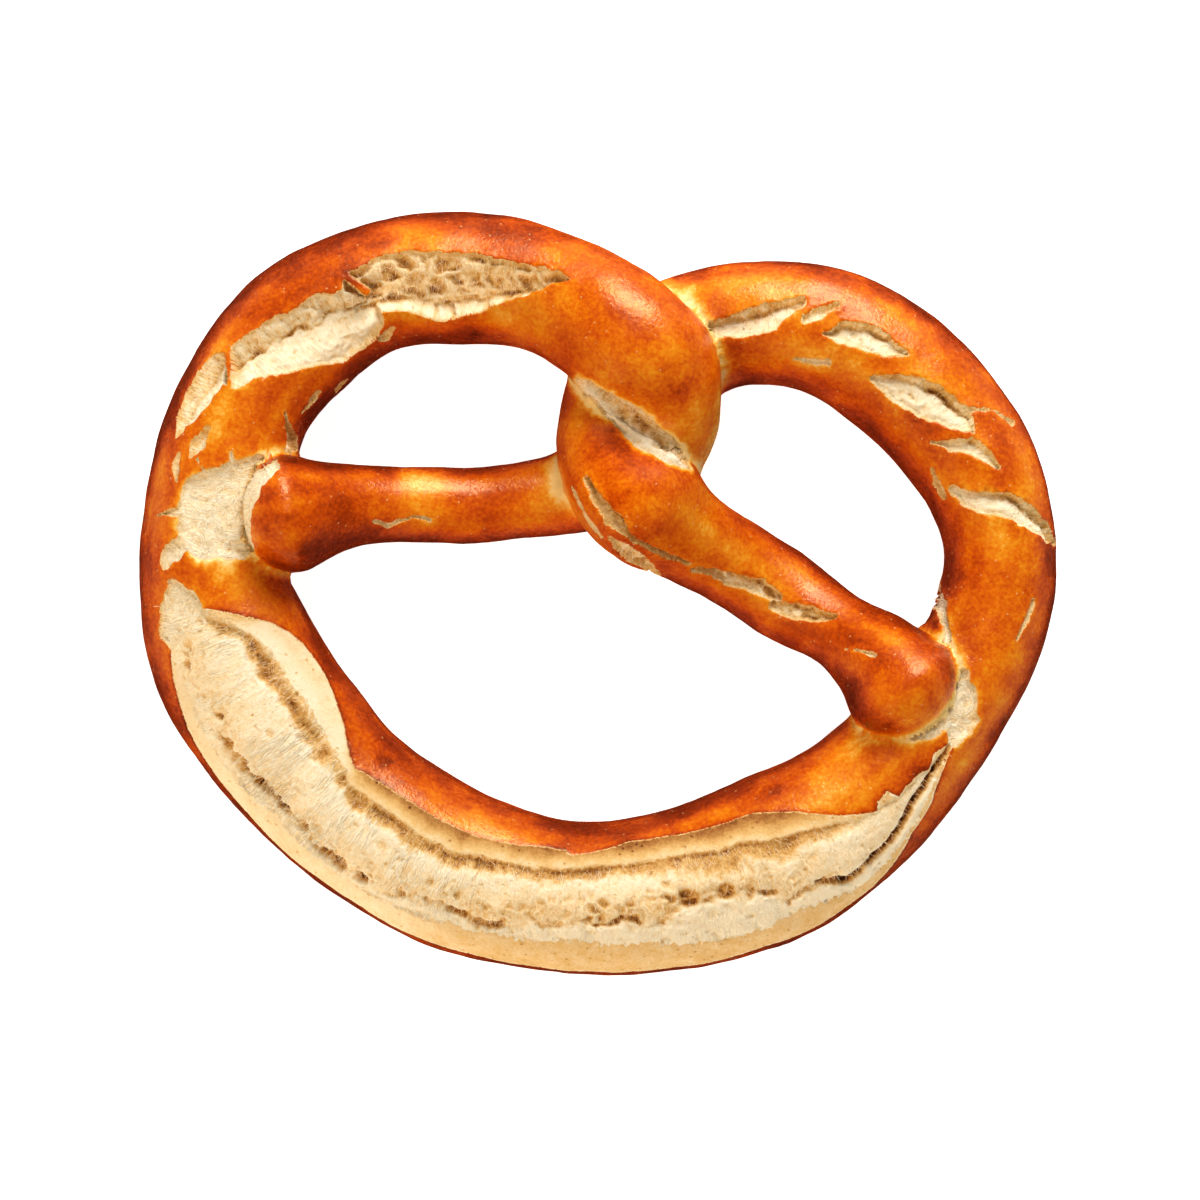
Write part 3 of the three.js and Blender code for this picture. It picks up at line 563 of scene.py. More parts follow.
def carveBelly(points, place, inside):
    # depth of the belly split's surface, and its brownness with painted shade added, with its smooth bands,
    # its gaps and how frayed it is
    at, flat = place["at"], rolledOut(place)
    jag, saw, teeth = (layered(*pair) for pair in zip((points, points, flat), belly["edges"]))
    clean = ease(at, *belly["clean"])
    wander = {line: a * jag + b * saw + c * teeth for line, (a, b, c) in belly["wander"].items()}
    wander["furrow"] *= 1 - 0.7 * clean
    inner, outer, beyond = (acrossLine(belly[line], place, 1) + wander[line] for line in wander)
    groove, wall, rise = (tableAt(belly["groove"], column, at) for column in (1, 2, 3))
    opened = patches(points, *belly["opened"])
    rise = np.maximum(rise * (0.7 + 0.5 * opened) + teeth, 0.4)
    climb = ease(1.25 - (inner - wall) / rise)
    innerCut = groove * opened * np.where(inner > 0, np.where(inner < wall, ease(inner / wall), climb), 0)
    gaps = np.maximum(patches(points, *belly["gaps"]), 0.75 * clean)
    deep, halfWidth, crags = (tableAt(belly["furrowDepth"], column, at) for column in (1, 2, 3))
    outerCut = deep * gaps * ease(1.35 - np.abs(outer) / halfWidth)

    skinEdge = np.maximum(-inner, beyond)
    skin = ease(0.5 + skinEdge / 0.3)
    beyondFurrow = ease(outer, *belly["furrowSide"]) * ease(at, *belly["fringeStart"])
    craggy = crags * np.exp(-((outer + 2.2) / 3.2) ** 2)
    craggy = np.maximum(craggy, belly["furrowCrags"] * ease(1 - np.abs(outer) / 3))
    craggy = np.maximum(craggy, belly["grooveCrags"] * ease(innerCut))
    craggy = np.maximum(craggy, belly["fringeCrags"] * beyondFurrow * ease(at, *belly["fringeEnd"]))
    swollen = belly["bulge"] * ease(inner / 4) * ease((-outer - 0.5) / 3)
    holes = np.zeros(len(points))
    for middle, angle, reach, sunk in belly["holes"]:
        radius = place["radius"][np.abs(at - middle).argmin()]
        centre = np.array([middle, math.radians(angle) * radius, 0])
        away = np.linalg.norm(flat - centre, axis=1) / reach
        holes = np.maximum(holes, sunk * ease(1.5 * (1.2 - away)))
    pulled = tableAt(belly["pulled"], 1, at)
    relief = tornRelief(points, place, craggy, pulled)
    relief *= 1 - 0.75 * clean * ease(outerCut / 0.5)
    loose = belly["crumbDepth"] - swollen - relief * ease(inside / 0.6)
    smooth = belly["bandDepth"] + layered(points, belly["bandGrain"])
    step = ease(inside / 2.2) * skin + ease(inside / 0.5) * (1 - skin)
    depth = step * (smooth * skin + loose * (1 - skin)) + innerCut + outerCut + holes * (1 - skin)

    # the bands are tan, with painted shade darkening the inner band towards the crust's lip so that it is
    # pale towards the crumb; the crumb is cream, with a painted shadow on the tan wall under the band's edge
    tones = belly["tones"]
    pale = ease(1 + inner / 4.5) * ease(1 - inner / 2)
    leftPart, leftHalf = ease(at, 203, 5) * ease(at, 242, -8), ease(at, 275, -20)
    innerBand = tones["innerBand"] - tones["paleInnerBand"] * leftPart
    tan = np.where(inner < 2, innerBand, tones["outerBand"] - tones["paleOuterBand"] * leftHalf)
    shaded = ease(groove / 0.6)
    webbed = craggy * (1 - beyondFurrow)
    # painted light and shade: raised crumb is paler, sunk crumb darker, and past the furrow the crumb is
    # painted paler against the shade on that slope
    tanAndShade = tones["crumb"] + tones["webs"] * webbed - tones["ridges"] * relief
    tanAndShade -= tones["fringe"] * beyondFurrow
    # painted shadow under the band's torn edge, darkest at the foot of its wall where the groove is deep
    tanAndShade += (tones["rise"] - tones["paleRise"] * ease(at, 244, -8)) * shaded * climb ** 1.5
    tanAndShade += tones["wall"] * ease((groove - 0.9) / 0.6) * opened * np.exp(-((inner - wall) / 0.5) ** 2)
    # painted shade in the furrow, the clean furrow and the holes, deeper cuts darker
    tanAndShade += tones["furrow"] * outerCut + tones["holes"] * holes
    tanAndShade = np.minimum(tanAndShade, tones["most"]) + tones["cleanFurrow"] * clean * ease(outerCut)
    strung = ease(outerCut / 0.5) * (1 - 0.8 * clean)
    frayed = np.maximum(strung, 0.7 * ease(shaded * climb * opened)) + 0.45 * webbed + 0.12
    return depth, tanAndShade, {
        "skinEdge": skinEdge, "skinTone": tan * (1 - 0.6 * pale), "frayed": frayed * (1 - skin),
        "cut": outerCut + 0.1 * innerCut + 0.1 * holes, "drawn": pulled * patches(flat, *belly["strands"])}


def carveTear(name, points, place, inside):
    # a torn wall drops from the uphill lip to a slot, and the crumb rises gently from there to the other lip
    deepest, web, slot = tears[name][1:4]
    blown, craggy = web > crumb["blown"], web
    if slot is not None:
        _, across, width = acrossTear(name, points[:, :2])
        rough = layered(points, crumb["slotWander"])
        across = across + rough * np.where(across < slot + 0.1, 1 - 0.8 * blown, 1)
        wall = ease(0.5 + (across - slot) * 3)
        craggy = web * (1 - 0.75 * blown * (1 - wall))
    relief = tornRelief(points, place, craggy, 0.2 if slot is None else 0.5, blown)
    relief *= ease(inside / 0.8)
    lip = min(crumb["crust"], deepest) * ease(inside / 0.35)
    hollow = max(0, deepest - crumb["crust"])
    tanAndShade = crumb["darker"].get(name, 0) + crumb["palest"]
    if slot is None:
        depth = lip + hollow * ease(inside / 2.6) - relief
        marks = {"swirl": 1, "frayed": 0.4 * ease(inside), "drawn": 0.6}
        return depth, tanAndShade - crumb["ridges"] * relief, marks
    toSlot = np.where(across > slot, (1 - across) / (1 - slot), (1 + across) / (1 + slot))
    wide = ease(width / 4)
    gap = np.exp(-((across - slot) * width / crumb["slotWidth"]) ** 2) * wide
    gap *= patches(points, *crumb["slots"]) * (1 - 0.55 * blown)
    depth = lip + hollow * ease(1.2 * toSlot) * (0.4 + 0.6 * wide) + crumb["slotDepth"] * gap - relief
    depth -= crumb["fill"].get(name, 0) * (1 - wall) * ease(inside / 1.5) * (1 - gap)
    # painted shade on the uphill wall and in the slot; below, raised crumb is painted paler
    tanAndShade = tanAndShade + crumb["walls"].get(name, crumb["wall"]) * wall + crumb["slotShade"] * gap
    frayed = (np.maximum(gap, 0.5 * wall * wide) + 0.08 + 0.4 * (web > 0.5)) * ease(inside)
    return depth, tanAndShade - crumb["ridges"] * relief, {
        "cut": crumb["slotDepth"] * gap, "frayed": frayed, "drawn": (1 - 0.9 * web) * (0.35 + 0.3 * wall)}


def carveCrumb(points, place, inside, which):
    # depth and brownness, with painted shade added, wherever the crust is torn, and the marks that the
    # material and the fibres go by
    depth, tanAndShade = np.zeros(len(points)), np.zeros(len(points))
    marks = {name: np.zeros(len(points)) for name in ("skinTone", "cut", "frayed", "swirl", "drawn")}
    marks["skinEdge"] = np.full(len(points), -9.0)
    for number, name in enumerate([None, *tears]):
        on = (which == number) & (inside > 0)
        if not on.any():
            continue
        spot = {key: values[on] for key, values in place.items()}
        if name is None:
            depth[on], tanAndShade[on], found = carveBelly(points[on], spot, inside[on])
        else:
            depth[on], tanAndShade[on], found = carveTear(name, points[on], spot, inside[on])
        for mark, values in found.items():
            marks[mark][on] = values
    return depth, tanAndShade, marks


def spreadOut(values, edges):
    # values averaged over their surroundings on the mesh, about 1.5 mm across in the crumb
    a, b = edges.T
    share = np.bincount(a, minlength=len(values)) + np.bincount(b, minlength=len(values)) + 1
    for _ in range(8):
        total = np.bincount(a, values[b], len(values)) + np.bincount(b, values[a], len(values))
        values = (values + total) / share
    return values


bake = {
    # amount, grain, seed and octaves of the uneven browning, over the form and drawn out along the rope
    "even": 0.52, "patches": [(0.19, 13, 10, 2), (0.1, 4.5, 11, 3)], "streaks": [(0.14, (16, 3.5, 1), 16, 2)],
    "flanks": 0.32, "flankAngles": (35, 45),  # darker down the sides, from 35 degrees over another 45: partly browning, partly painted shade
    # distance along the rope and how much less that is: the twist and the arms are more even
    "evenFlanks": [
        (0, -0.3), (50, -0.3), (62, 1), (105, 0.8), (118, -0.5), (160, -0.4), (200, 0), (470, 0), (478, 1),
        (512, 1), (530, 0), (560, -0.3), (600, 0),
    ],
    "darkest": 0.86,
    # where strands met in the oven the dough stayed pale; right between them is a sunk crack, with painted
    # shade in it
    "seam": 0.5, "seamWidth": 2.6, "seamWander": [(0.5, 5, 12)],
    "crackWidth": 0.7, "crackDepth": 0.9, "crackShade": 0.45,
    "matt": (485, 520, 0.5, 22, 9),  # stretch, x, y and reach of the duller place
    "rimWidth": 0.9, "bellyRim": 0.24, "tearRim": -0.05,
    "rims": {"twistSlit": -0.4, "leftKnobTear": -0.25, "rightKnobTear": -0.2, "rightKnobTail": -0.2},
    # single darker or paler patches: stretch of the rope, x, y, reach and amount; and how their edges wander
    "blot": [(0.35, 3, 13)],
    "spots": [
        (400, 480, -3.1, 57.1, 4, -0.3), (400, 480, 1.5, 53.4, 5, -0.35), (400, 480, 6, 49.2, 4.5, -0.3),
        (400, 480, 10, 43, 5, -0.25), (88, 150, -58, 44, 9, 0.15), (88, 150, -53.3, 41.9, 3, 0.2),
        (130, 165, -64.3, 35.3, 10, 0.1), (150, 240, -66, 12, 7, -0.12), (170, 200, -74.3, -5.7, 12, -0.12),
        (50, 100, -1.2, 40.1, 9, -0.1), (60, 100, 11.7, 31.6, 8, -0.2), (490, 515, -0.5, 23.7, 7, 0.1),
        (400, 480, 27.9, 45.8, 14, -0.1), (370, 400, 65.2, 19.1, 10, -0.08),
        (240, 290, -7.8, -39.3, 12, -0.16), (320, 350, 46.6, -18.9, 10, -0.12),
        # (440, 470, 14.8, 60.5) and (0, 50, -33, 13.5) are painted light: golden patches on the tops of the
        # right arc and the left arm, where they face the key lamp
        (440, 470, 14.8, 60.5, 9, -0.14), (0, 50, -33, 13.5, 6, -0.22), (150, 240, -63.4, -10.9, 3.5, -0.4),
        (0, 80, -11.5, 15, 4, -0.25), (0, 40, -58, -2.4, 3, 0.22), (0, 40, -48.7, -6.9, 3.5, 0.25),
        (540, 600, 55.5, -8.2, 0.9, 0.35), (230, 260, -26.4, -37.1, 1.4, 0.35),
    ],
}


def nearSpot(points, place, start, end, x, y, reach):
    # distance from a spot on one stretch of the rope, in its own reaches; far away on the other strands
    away = np.hypot(points[:, 0] - x, points[:, 1] - y) / reach
    return np.where((place["at"] > start) & (place["at"] < end), away, 99)


def crustTone(points, place, inside, which):
    # how far the crust is browned, 0 pale to 1 nearly burnt, with painted shade down the sides and painted
    # light on the tops of the left arm and the right arc
    tone = bake["even"] + layered(points, bake["patches"]) + layered(rolledOut(place), bake["streaks"])
    # painted shade down the sides, on top of their browning
    sides = bake["flanks"] * (1 - tableAt(bake["evenFlanks"], 1, place["at"]))
    tone += sides * ease(np.abs(place["angle"]), *bake["flankAngles"])
    seamWidth = bake["seamWidth"] * (1 + layered(points, bake["seamWander"]))
    tone -= bake["seam"] * ease(1 - place["gap"] / seamWidth)
    margins = np.array([bake["bellyRim"]] + [bake["rims"].get(name, bake["tearRim"]) for name in tears])
    tone += np.where(which >= 0, margins[which], 0) * ease(1 + inside / bake["rimWidth"])
    blot = layered(points, bake["blot"])
    for *spot, amount in bake["spots"]:
        tone += amount * ease(1.3 - nearSpot(points, place, *spot) - blot)
    return np.minimum(tone, bake["darkest"])


def readMesh(mesh):
    points, normals = np.empty(len(mesh.vertices) * 3), np.empty(len(mesh.vertices) * 3, np.float32)
    edges = np.empty(len(mesh.edges) * 2, int)
    mesh.vertices.foreach_get("co", points)
    mesh.vertex_normals.foreach_get("vector", normals)
    mesh.edges.foreach_get("vertices", edges)
    return points.reshape(-1, 3), normals.reshape(-1, 3), edges.reshape(-1, 2)


def shapePretzel():
    mesh = refineTears(fuseDough(rollRope()))
    points, normals, edges = readMesh(mesh)
    place = ropePlaces(points)
    inside, which = tornField(points, place)
    points, inside = snapToLips(points, edges, inside)
    print("lips snapped:", int((inside == 0).sum()), "vertices")

    depth, tanAndShade, marks = carveCrumb(points, place, inside, which)
    torn = inside > 0
    # painted shade: torn crumb lying below its surroundings is darker, crumb standing above them paler
    cavity = np.where(torn, depth - spreadOut(depth, edges), 0)
    tanAndShade += crumb["cavity"] * np.clip(cavity, *crumb["cavityLimits"])
    curl = crumb["curl"] * ease(1 + inside / crumb["curlReach"]) * np.where(which == 0, crumb["bellyCurl"], 1)
    depth = np.where(torn, depth, -curl)
    crack = np.exp(-(place["gap"] / bake["crackWidth"]) ** 2) * (points[:, 2] > 3)
    crack[which == list(tears).index("twistSlit") + 1] *= 0.25
    depth += rope["shrink"] - layered(points, rope["lumps"]) + bake["crackDepth"] * crack
    # painted shade in the crack between strands
    tanAndShade += bake["crackShade"] * crack ** 2
    points -= normals * (depth * ease(points[:, 2] / 1.5))[:, None]
    points[:, 2] = np.maximum(points[:, 2], 0)
    mesh.vertices.foreach_set("co", (points * mm).ravel())
    mesh.update()

    marks.update({
        "inside": inside, "tanAndShade": tanAndShade, "tone": crustTone(points, place, inside, which),
        "under": 1 - ease(points[:, 2] / 1.2), "dull": ease(1.5 - nearSpot(points, place, *bake["matt"])),
    })
    # the fibres of the even hollows swirl, the others run straight across the rope
    swirl = np.stack([noiseAt(points, 4, seed) for seed in (41, 42, 43)], 1) * 3
    flat = rolledOut(place) + swirl * (0.1 + marks.pop("swirl"))[:, None]
    frayed = marks.pop("frayed")
    for name, values in marks.items():
        values = values.astype(np.float32)
        mesh.attributes.new(name, "FLOAT", "POINT").data.foreach_set("value", values)
    spots = mesh.attributes.new("ropeSpot", "FLOAT_VECTOR", "POINT")
    spots.data.foreach_set("vector", flat.astype(np.float32).ravel())
    return mesh, inside, frayed, place


def linear(hexColour):
    # sRGB hex to the linear colour that Blender takes
    parts = [int(hexColour[i:i + 2], 16) / 255 for i in (1, 3, 5)]
    return tuple(c / 12.92 if c <= 0.04045 else ((c + 0.055) / 1.055) ** 2.4 for c in parts) + (1,)


def addNode(owner, kind, links=None, stops=None, out=0, **settings):
    # adds a node to a material or world and gives one of its outputs; links holds the values of its inputs or
    # the outputs they are joined to, stops the colours of a ramp
    made = owner.node_tree.nodes.new("ShaderNode" + kind)
    for name, value in settings.items():
        setattr(made, name, value)
    for name, value in (links or {}).items():
        if isinstance(value, bpy.types.NodeSocket):
            owner.node_tree.links.new(value, made.inputs[name])
        else:
            made.inputs[name].default_value = value
    if stops:
        ramp = made.color_ramp
        while len(ramp.elements) < len(stops):
            ramp.elements.new(0.5)
        for element, (position, colour) in zip(ramp.elements, stops):
            element.position = position
            element.color = linear(colour)
    return made.outputs[out] if len(made.outputs) else None


def newMaterial(name):
    material = bpy.data.materials.new(name)
    material.use_nodes = True
    material.node_tree.nodes.clear()
    return material


def bakedLyeCrust():
    # bread crust dipped in lye and baked: a thin glossy skin, amber to chestnut, mottled and finely blistered
    look = {
        "tones": [(0.0, "#fcd98c"), (0.15, "#f5b94c"), (0.3, "#ea8f14"), (0.45, "#dd6a02"), (0.6, "#c54900"),
                  (0.75, "#9c3000"), (0.9, "#782000"), (1.0, "#4f1200")],
        # mottle, freckles, wrinkles and folds: size, detail, roughness and distortion
        "noises": [
            (6 * mm, 4, 0.6, 0), (0.7 * mm, 2, 0.6, 0), (0.6 * mm, 2, 0.5, 0.5), (1.7 * mm, 2, 0.5, 0.5)],
        "mottleTone": (-0.1, 0.1), "freckleTone": (-0.09, 0.09), "foldHeight": 0.9, "roughness": (0.22, 0.36),
        "blisters": 1.9 * mm, "blisterEdge": (0.05, 0.12), "blisterHeight": 0.55, "blisterColour": "#f4c079",
        "underside": "#b9702f", "bump": 0.08 * mm,
        "shine": 0.8, "dullShine": -0.65, "dullRoughness": 0.12, "tint": "#ffdaa6",
    }
    material = newMaterial("bakedLyeCrust")
    spot = addNode(material, "TexCoord", out="Object")
    tone, under, dull = (
        addNode(material, "Attribute", out="Fac", attribute_name=name) for name in ("tone", "under", "dull"))
    mottle, freckles, wrinkles, folds = (
        addNode(material, "TexNoise", {
            "Vector": spot, "Scale": 1 / size, "Detail": detail, "Roughness": rough, "Distortion": bent})
        for size, detail, rough, bent in look["noises"])
    # tiny pale blisters: the middles of some cells
    cells = addNode(material, "TexVoronoi", {"Vector": spot, "Scale": 1 / look["blisters"]}, feature="F1")
    shift, speckle, gloss, blister = (
        addNode(material, "MapRange", {
            "Value": source, "From Min": start, "From Max": end, "To Min": low, "To Max": high})
        for source, start, end, low, high in (
            (mottle, 0.3, 0.7, *look["mottleTone"]), (freckles, 0.3, 0.7, *look["freckleTone"]),
            (mottle, 0.3, 0.7, *look["roughness"]), (cells, *look["blisterEdge"], look["blisterHeight"], 0)))
    sums = []
    for total, parts in (
            (tone, [(shift, 1), (speckle, 1)]), (wrinkles, [(folds, look["foldHeight"]), (blister, 1)]),
            (gloss, [(dull, look["dullRoughness"])]), (look["shine"], [(dull, look["dullShine"])])):
        for part, share in parts:
            total = addNode(material, "Math", {0: part, 1: share, 2: total}, operation="MULTIPLY_ADD")
        sums.append(total)
    tone, height, roughness, shine = sums
    colour = addNode(material, "ValToRGB", {"Fac": tone}, stops=look["tones"])
    for share, over in ((blister, look["blisterColour"]), (under, look["underside"])):
        colour = addNode(material, "Mix", {"Factor": share, "A": colour, "B": linear(over)},
                         out="Result", data_type="RGBA")
    bump = addNode(material, "Bump", {"Height": height, "Strength": 1, "Distance": look["bump"]})
    shader = addNode(material, "BsdfPrincipled", {
        "Base Color": colour, "Roughness": roughness, "IOR": 1.5, "Specular IOR Level": shine,
        "Specular Tint": linear(look["tint"]), "Normal": bump})
    addNode(material, "OutputMaterial", {"Surface": shader})
    return material


def tornBreadCrumb():
    # steamed white crumb where the crust burst: matt and cream, fibres pulled across, darker in the hollows
    # and gaps with painted shade and some toasting
    look = {
        "tones": [(0.0, "#fef1d1"), (0.2, "#fbe4b6"), (0.45, "#e9be76"), (0.65, "#cf994f"), (0.85, "#9c5f24"),
                  (1.0, "#5a2a0c")],
        # painted light and shade below: the drawn strands and the raised grain of crumb and skin are paler,
        # the low places between them darker
        "fibreWidth": 0.55 * mm, "fibreLength": 3.6 * mm, "fibreEdge": (0.75, 1.3), "fibreLightAndShade": -0.28,
        "fibreHeight": 0.5, "toasting": 3 * mm, "toastingTone": (-0.08, 0.08),
        "grain": 0.5 * mm, "grainLightAndShade": (0.24, -0.06), "grainHeight": 0.7, "suedeLightAndShade": (0.07, -0.07),
        "fray": 0.9 * mm, "serration": (-0.45, 0.45),  # in mm, as skinEdge is
        "pores": 1.3 * mm, "poreEdge": (0.1, 0.26), "poreShare": (0.52, 0.6), "poreTone": 0.22,
        "poreHeight": -0.35, "bump": 0.4 * mm,
    }
    material = newMaterial("tornBreadCrumb")
    spot = addNode(material, "TexCoord", out="Object")
    tanAndShade, skinTone, skinEdge, cut, inside, drawn = (
        addNode(material, "Attribute", out="Fac", attribute_name=name)
        for name in ("tanAndShade", "skinTone", "skinEdge", "cut", "inside", "drawn"))
    pulled = addNode(material, "Attribute", out="Vector", attribute_name="ropeSpot")
    toasting, grain, fray = (
        addNode(material, "TexNoise", {"Vector": spot, "Scale": 1 / size, "Detail": 4, "Roughness": 0.65})
        for size in (look["toasting"], look["grain"], look["fray"]))
    # drawn strands: the ridges of a noise that is stretched across the rope
    stretched = addNode(material, "Mapping", {
        "Vector": pulled, "Scale": (mm / look["fibreWidth"], mm / look["fibreLength"], 1)})
    ridges = addNode(material, "TexNoise", {
        "Vector": stretched, "Scale": 1, "Detail": 2, "Roughness": 0.5, "Distortion": 0.5, "Offset": 1,
        "Gain": 1}, noise_type="RIDGED_MULTIFRACTAL")
    # small brown pores in some of the cells of the skin
    cells = addNode(material, "TexVoronoi", {"Vector": spot, "Scale": 1 / look["pores"]}, feature="F1")
    shift, curds, suede, serration, clear, opened, pit, chosen, edge = (
        addNode(material, "MapRange", {
            "Value": source, "From Min": start, "From Max": end, "To Min": low, "To Max": high})
        for source, start, end, low, high in (
            (toasting, 0.3, 0.7, *look["toastingTone"]), (grain, 0.3, 0.7, *look["grainLightAndShade"]),
            (grain, 0.3, 0.7, *look["suedeLightAndShade"]), (fray, 0.3, 0.7, *look["serration"]),
            (ridges, *look["fibreEdge"], 0, 1),
            # painted shade in the gaps and slots, darker where the cut is deep
            (cut, 0.1, 2, 0, 0.5),  # gaps and slots
            (cells, *look["poreEdge"], 1, 0), (cells.node.outputs["Color"], *look["poreShare"], 0, 1),
            (inside, 0, 0.35, 0.35, 0)))  # the broken edge of the crust, seen along each lip
    strands, pore = (
        addNode(material, "Math", {0: one, 1: other}, operation="MULTIPLY")
        for one, other in ((clear, drawn), (pit, chosen)))
    # where the smooth bands of skin end: a crisp, finely serrated edge; and strands left across the gaps
    serrated = addNode(material, "Math", {0: skinEdge, 1: serration}, operation="ADD")
    skin, torn, bridged = (
        addNode(material, "MapRange", {
            "Value": source, "From Min": start, "From Max": end, "To Min": low, "To Max": high})
        for source, start, end, low, high in (
            (serrated, -0.06, 0.06, 0, 1), (serrated, -0.06, 0.06, 1, 0.1), (strands, 0.2, 0.8, 1, 0.3)))
    fibred = addNode(material, "Math", {0: strands, 1: torn}, operation="MULTIPLY")
    sums = []
    # the crumb's tone takes painted light and shade: paler strands and raised grain, darker gaps and slots
    # unless strands bridge them
    for total, parts in (
            (tanAndShade, [(strands, look["fibreLightAndShade"]), (curds, 1), (opened, bridged), (shift, 1), (edge, torn)]),
            (skinTone, [(pore, look["poreTone"]), (suede, 1), (shift, 1), (edge, torn)]),
            (0, [(fibred, look["fibreHeight"]), (grain, look["grainHeight"]), (pore, look["poreHeight"])])):
        for part, share in parts:
            total = addNode(material, "Math", {0: part, 1: share, 2: total}, operation="MULTIPLY_ADD")
        sums.append(total)
    crumbTone, bandTone, height = sums
    tone = addNode(material, "Mix", {"Factor": skin, "A": crumbTone, "B": bandTone}, out="Result")
    colour = addNode(material, "ValToRGB", {"Fac": tone}, stops=look["tones"])
    bump = addNode(material, "Bump", {"Height": height, "Strength": 1, "Distance": look["bump"]})
    shader = addNode(material, "BsdfPrincipled", {
        "Base Color": colour, "Roughness": 0.82, "IOR": 1.4, "Normal": bump})
    addNode(material, "OutputMaterial", {"Surface": shader})
    return material


fibres = {
    "seed": 7, "count": 8000, "thickness": 0.13, "length": (0.6, 1.9),
    "rooted": 0.1,  # how deep their feet sit
    "lift": (0.05, 0.35), "tangle": 0.45,  # how far they stand up, and stray from straight across
    "bends": (0.15, 0.3, -0.2), "joints": 3, "taper": 0.72,
    "colour": "#fae6bf",
}


def drawnFibre():
    # a strand of crumb drawn out thin as the dough burst: pale and matt
    material = newMaterial("drawnCrumbFibre")
    shader = addNode(material, "BsdfPrincipled", {
        "Base Color": linear(fibres["colour"]), "Roughness": 0.8, "IOR": 1.4})
    addNode(material, "OutputMaterial", {"Surface": shader})
    return material


def bentFibre(bend):
    # one tapered fibre of unit length, bent over as it rises from its foot
    joints, taper = fibres["joints"], fibres["taper"]
    bm = bmesh.new()
    bmesh.ops.create_circle(bm, cap_ends=True, segments=3, radius=fibres["thickness"] / 2)
    top = bm.faces[:]
    for step in range(joints):
        made = bmesh.ops.extrude_face_region(bm, geom=top)
        verts = [v for v in made["geom"] if isinstance(v, bmesh.types.BMVert)]
        if step:
            bmesh.ops.delete(bm, geom=top, context="FACES_ONLY")
        top = [f for f in made["geom"] if isinstance(f, bmesh.types.BMFace)]
        middle = sum((v.co for v in verts), Vector()) / len(verts)
        bmesh.ops.scale(bm, verts=verts, vec=(taper, taper, taper), space=Matrix.Translation(-middle))
        turned = Matrix.Rotation(bend * (step + 1), 3, "Y")
        bmesh.ops.translate(bm, verts=verts, vec=turned @ Vector((0, 0, 1 / joints)))
    bmesh.ops.recalc_face_normals(bm, faces=bm.faces)
    return toMesh(bm, "fibre")


def makeFibres(mesh, frayed, place):
    # short fibres stand across the furrow, the grooves and the walls of the tears
    rng = np.random.default_rng(fibres["seed"])
    chosen = rng.choice(len(frayed), fibres["count"], replace=False, p=frayed / frayed.sum())
    shapes = [bentFibre(bend) for bend in fibres["bends"]]
    bm = bmesh.new()
    for i in chosen:
        foot = mesh.vertices[i]
        up = foot.normal
        across = up.cross(Vector((place["alongX"][i], place["alongY"][i], 0))).normalized()
        across = float(rng.choice((-1, 1))) * across + Vector(rng.normal(0, fibres["tangle"], 3))
        lift = float(rng.uniform(*fibres["lift"]) * min(1, 0.3 + frayed[i]))
        direction = (across.normalized() + lift * up).normalized()
        length = float(rng.uniform(*fibres["length"])) * mm
        sideways = direction.cross(up).normalized()
        turn = Matrix((sideways.cross(direction), sideways, direction)).transposed().to_4x4()
        root = Matrix.Translation(foot.co - fibres["rooted"] * mm * up)
        copy = shapes[int(rng.integers(len(shapes)))].copy()
        copy.transform(root @ turn @ Matrix.Diagonal((mm, mm, length, 1)))
        bm.from_mesh(copy)
        bpy.data.meshes.remove(copy)
    piece = addObject("drawnFibres", toMesh(bm, "drawnFibres"))
    piece.data.materials.append(drawnFibre())
    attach(piece, "root")
    print("fibres drawn:", len(chosen), "with", countTriangles(piece.data), "triangles")


def countTriangles(mesh):
    return sum(len(face.vertices) - 2 for face in mesh.polygons)


def makePretzel():
    mesh, inside, frayed, place = shapePretzel()
    mesh.materials.append(bakedLyeCrust())
    mesh.materials.append(tornBreadCrumb())
    for face in mesh.polygons:
        face.use_smooth = True
        face.material_index = 1 if sum(inside[i] for i in face.vertices) > 0 else 0
    pretzel = addObject("softPretzel", mesh)
    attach(pretzel, "root")
    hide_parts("pretzel")
    print("pretzel made:", countTriangles(mesh), "triangles")
    makeFibres(mesh, frayed, place)


studio = {
    "paper": "#ffffff", "paperWidth": 4.0, "paperGlow": 0.9,
    # brightness of the tent by height, from straight below to straight above
    "tent": [(0.0, "#fff4e8"), (0.5, "#fff4e8"), (0.75, "#f2e8dc"), (1.0, "#e4d8cc")], "tentStrength": 0.47,
    "lens": 120, "sensor": 36, "cameraAt": (0.0024, -0.0004, 0.712), "cameraTurn": 15,
    # name, direction it comes from (image right, image up, up), distance, width, watts, colour
    "lights": [("keySoftbox", (0.2, 0.80, 0.50), 0.7, 0.42, 5.2, "#ffffff"),
               ("fillSoftbox", (-0.5, -0.6, 0.6), 0.9, 0.7, 4.5, "#ffe5c3")],
}


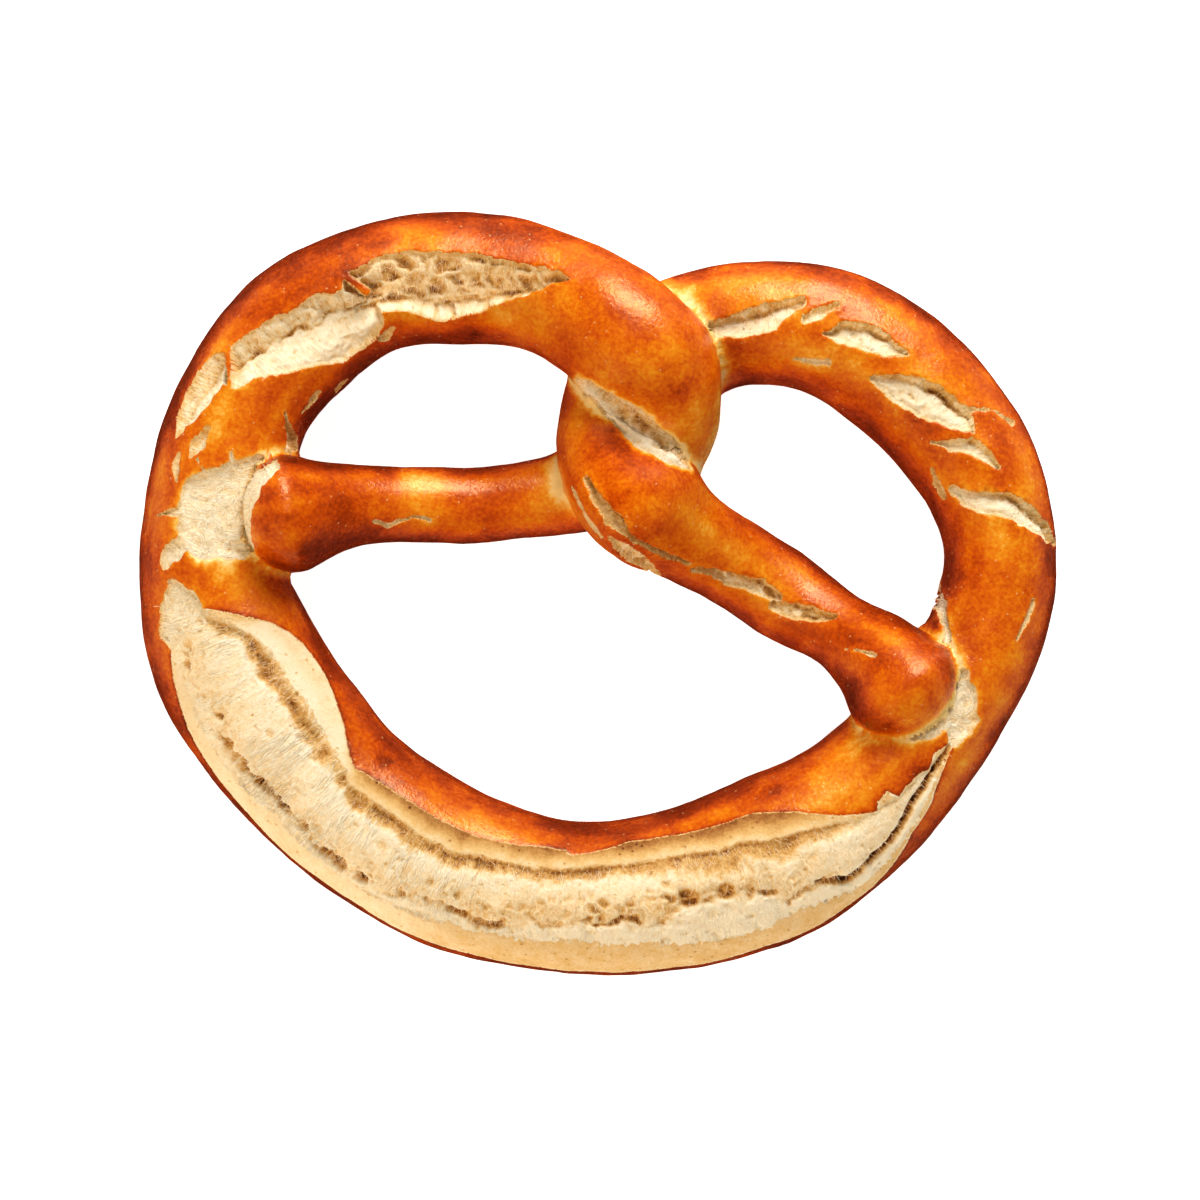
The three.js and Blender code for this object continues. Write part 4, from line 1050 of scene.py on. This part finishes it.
def layPaper():
    bm = bmesh.new()
    bmesh.ops.create_grid(bm, x_segments=1, y_segments=1, size=studio["paperWidth"] / 2)
    floor = addObject("floor", toMesh(bm, "floor"))
    paper = newMaterial("whitePaper")
    shader = addNode(paper, "BsdfPrincipled", {
        "Base Color": linear(studio["paper"]), "Roughness": 0.9, "Specular IOR Level": 0,
        "Emission Color": linear(studio["paper"]), "Emission Strength": studio["paperGlow"]})
    addNode(paper, "OutputMaterial", {"Surface": shader})
    floor.data.materials.append(paper)
    floor.visible_glossy = False  # the table isn't mirrored in the crust


def hangLights(turn):
    for name, (right, up, height), distance, width, watts, colour in studio["lights"]:
        lamp = bpy.data.lights.new(name, "AREA")
        lamp.color = linear(colour)[:3]
        lamp.shape, lamp.size, lamp.energy = "DISK", width, watts
        direction = Vector((right * math.cos(turn) - up * math.sin(turn),
                            right * math.sin(turn) + up * math.cos(turn), height)).normalized()
        light = addObject(name, lamp)
        light.location = direction * distance
        light.rotation_mode = "QUATERNION"
        light.rotation_quaternion = direction.to_track_quat("Z", "Y")
        light.visible_glossy = name == "keySoftbox"


def pitchTent():
    # a white tent round the table, not mirrored in the crust
    world = bpy.data.worlds.new("studio")
    world.use_nodes = True
    world.node_tree.nodes.clear()
    direction = addNode(world, "TexCoord", out="Generated")
    height = addNode(world, "SeparateXYZ", {"Vector": direction}, out="Z")
    level = addNode(world, "MapRange", {"Value": height, "From Min": -1})
    tent = addNode(world, "ValToRGB", {"Fac": level}, stops=studio["tent"])
    glow = addNode(world, "Background", {"Color": tent, "Strength": studio["tentStrength"]})
    addNode(world, "OutputWorld", {"Surface": glow})
    world.cycles_visibility.glossy = False
    bpy.context.scene.world = world


def makeStage():
    turn = math.radians(studio["cameraTurn"])
    layPaper()
    hangLights(turn)
    pitchTent()
    camera = addObject("camera", bpy.data.cameras.new("camera"))
    camera.data.lens, camera.data.sensor_width = studio["lens"], studio["sensor"]
    camera.data.clip_start = 0.01
    camera.location = studio["cameraAt"]
    camera.rotation_euler = (0, 0, turn)
    bpy.context.scene.camera = camera
    bpy.context.scene.view_settings.view_transform = "Standard"


makeStage()
makePretzel()
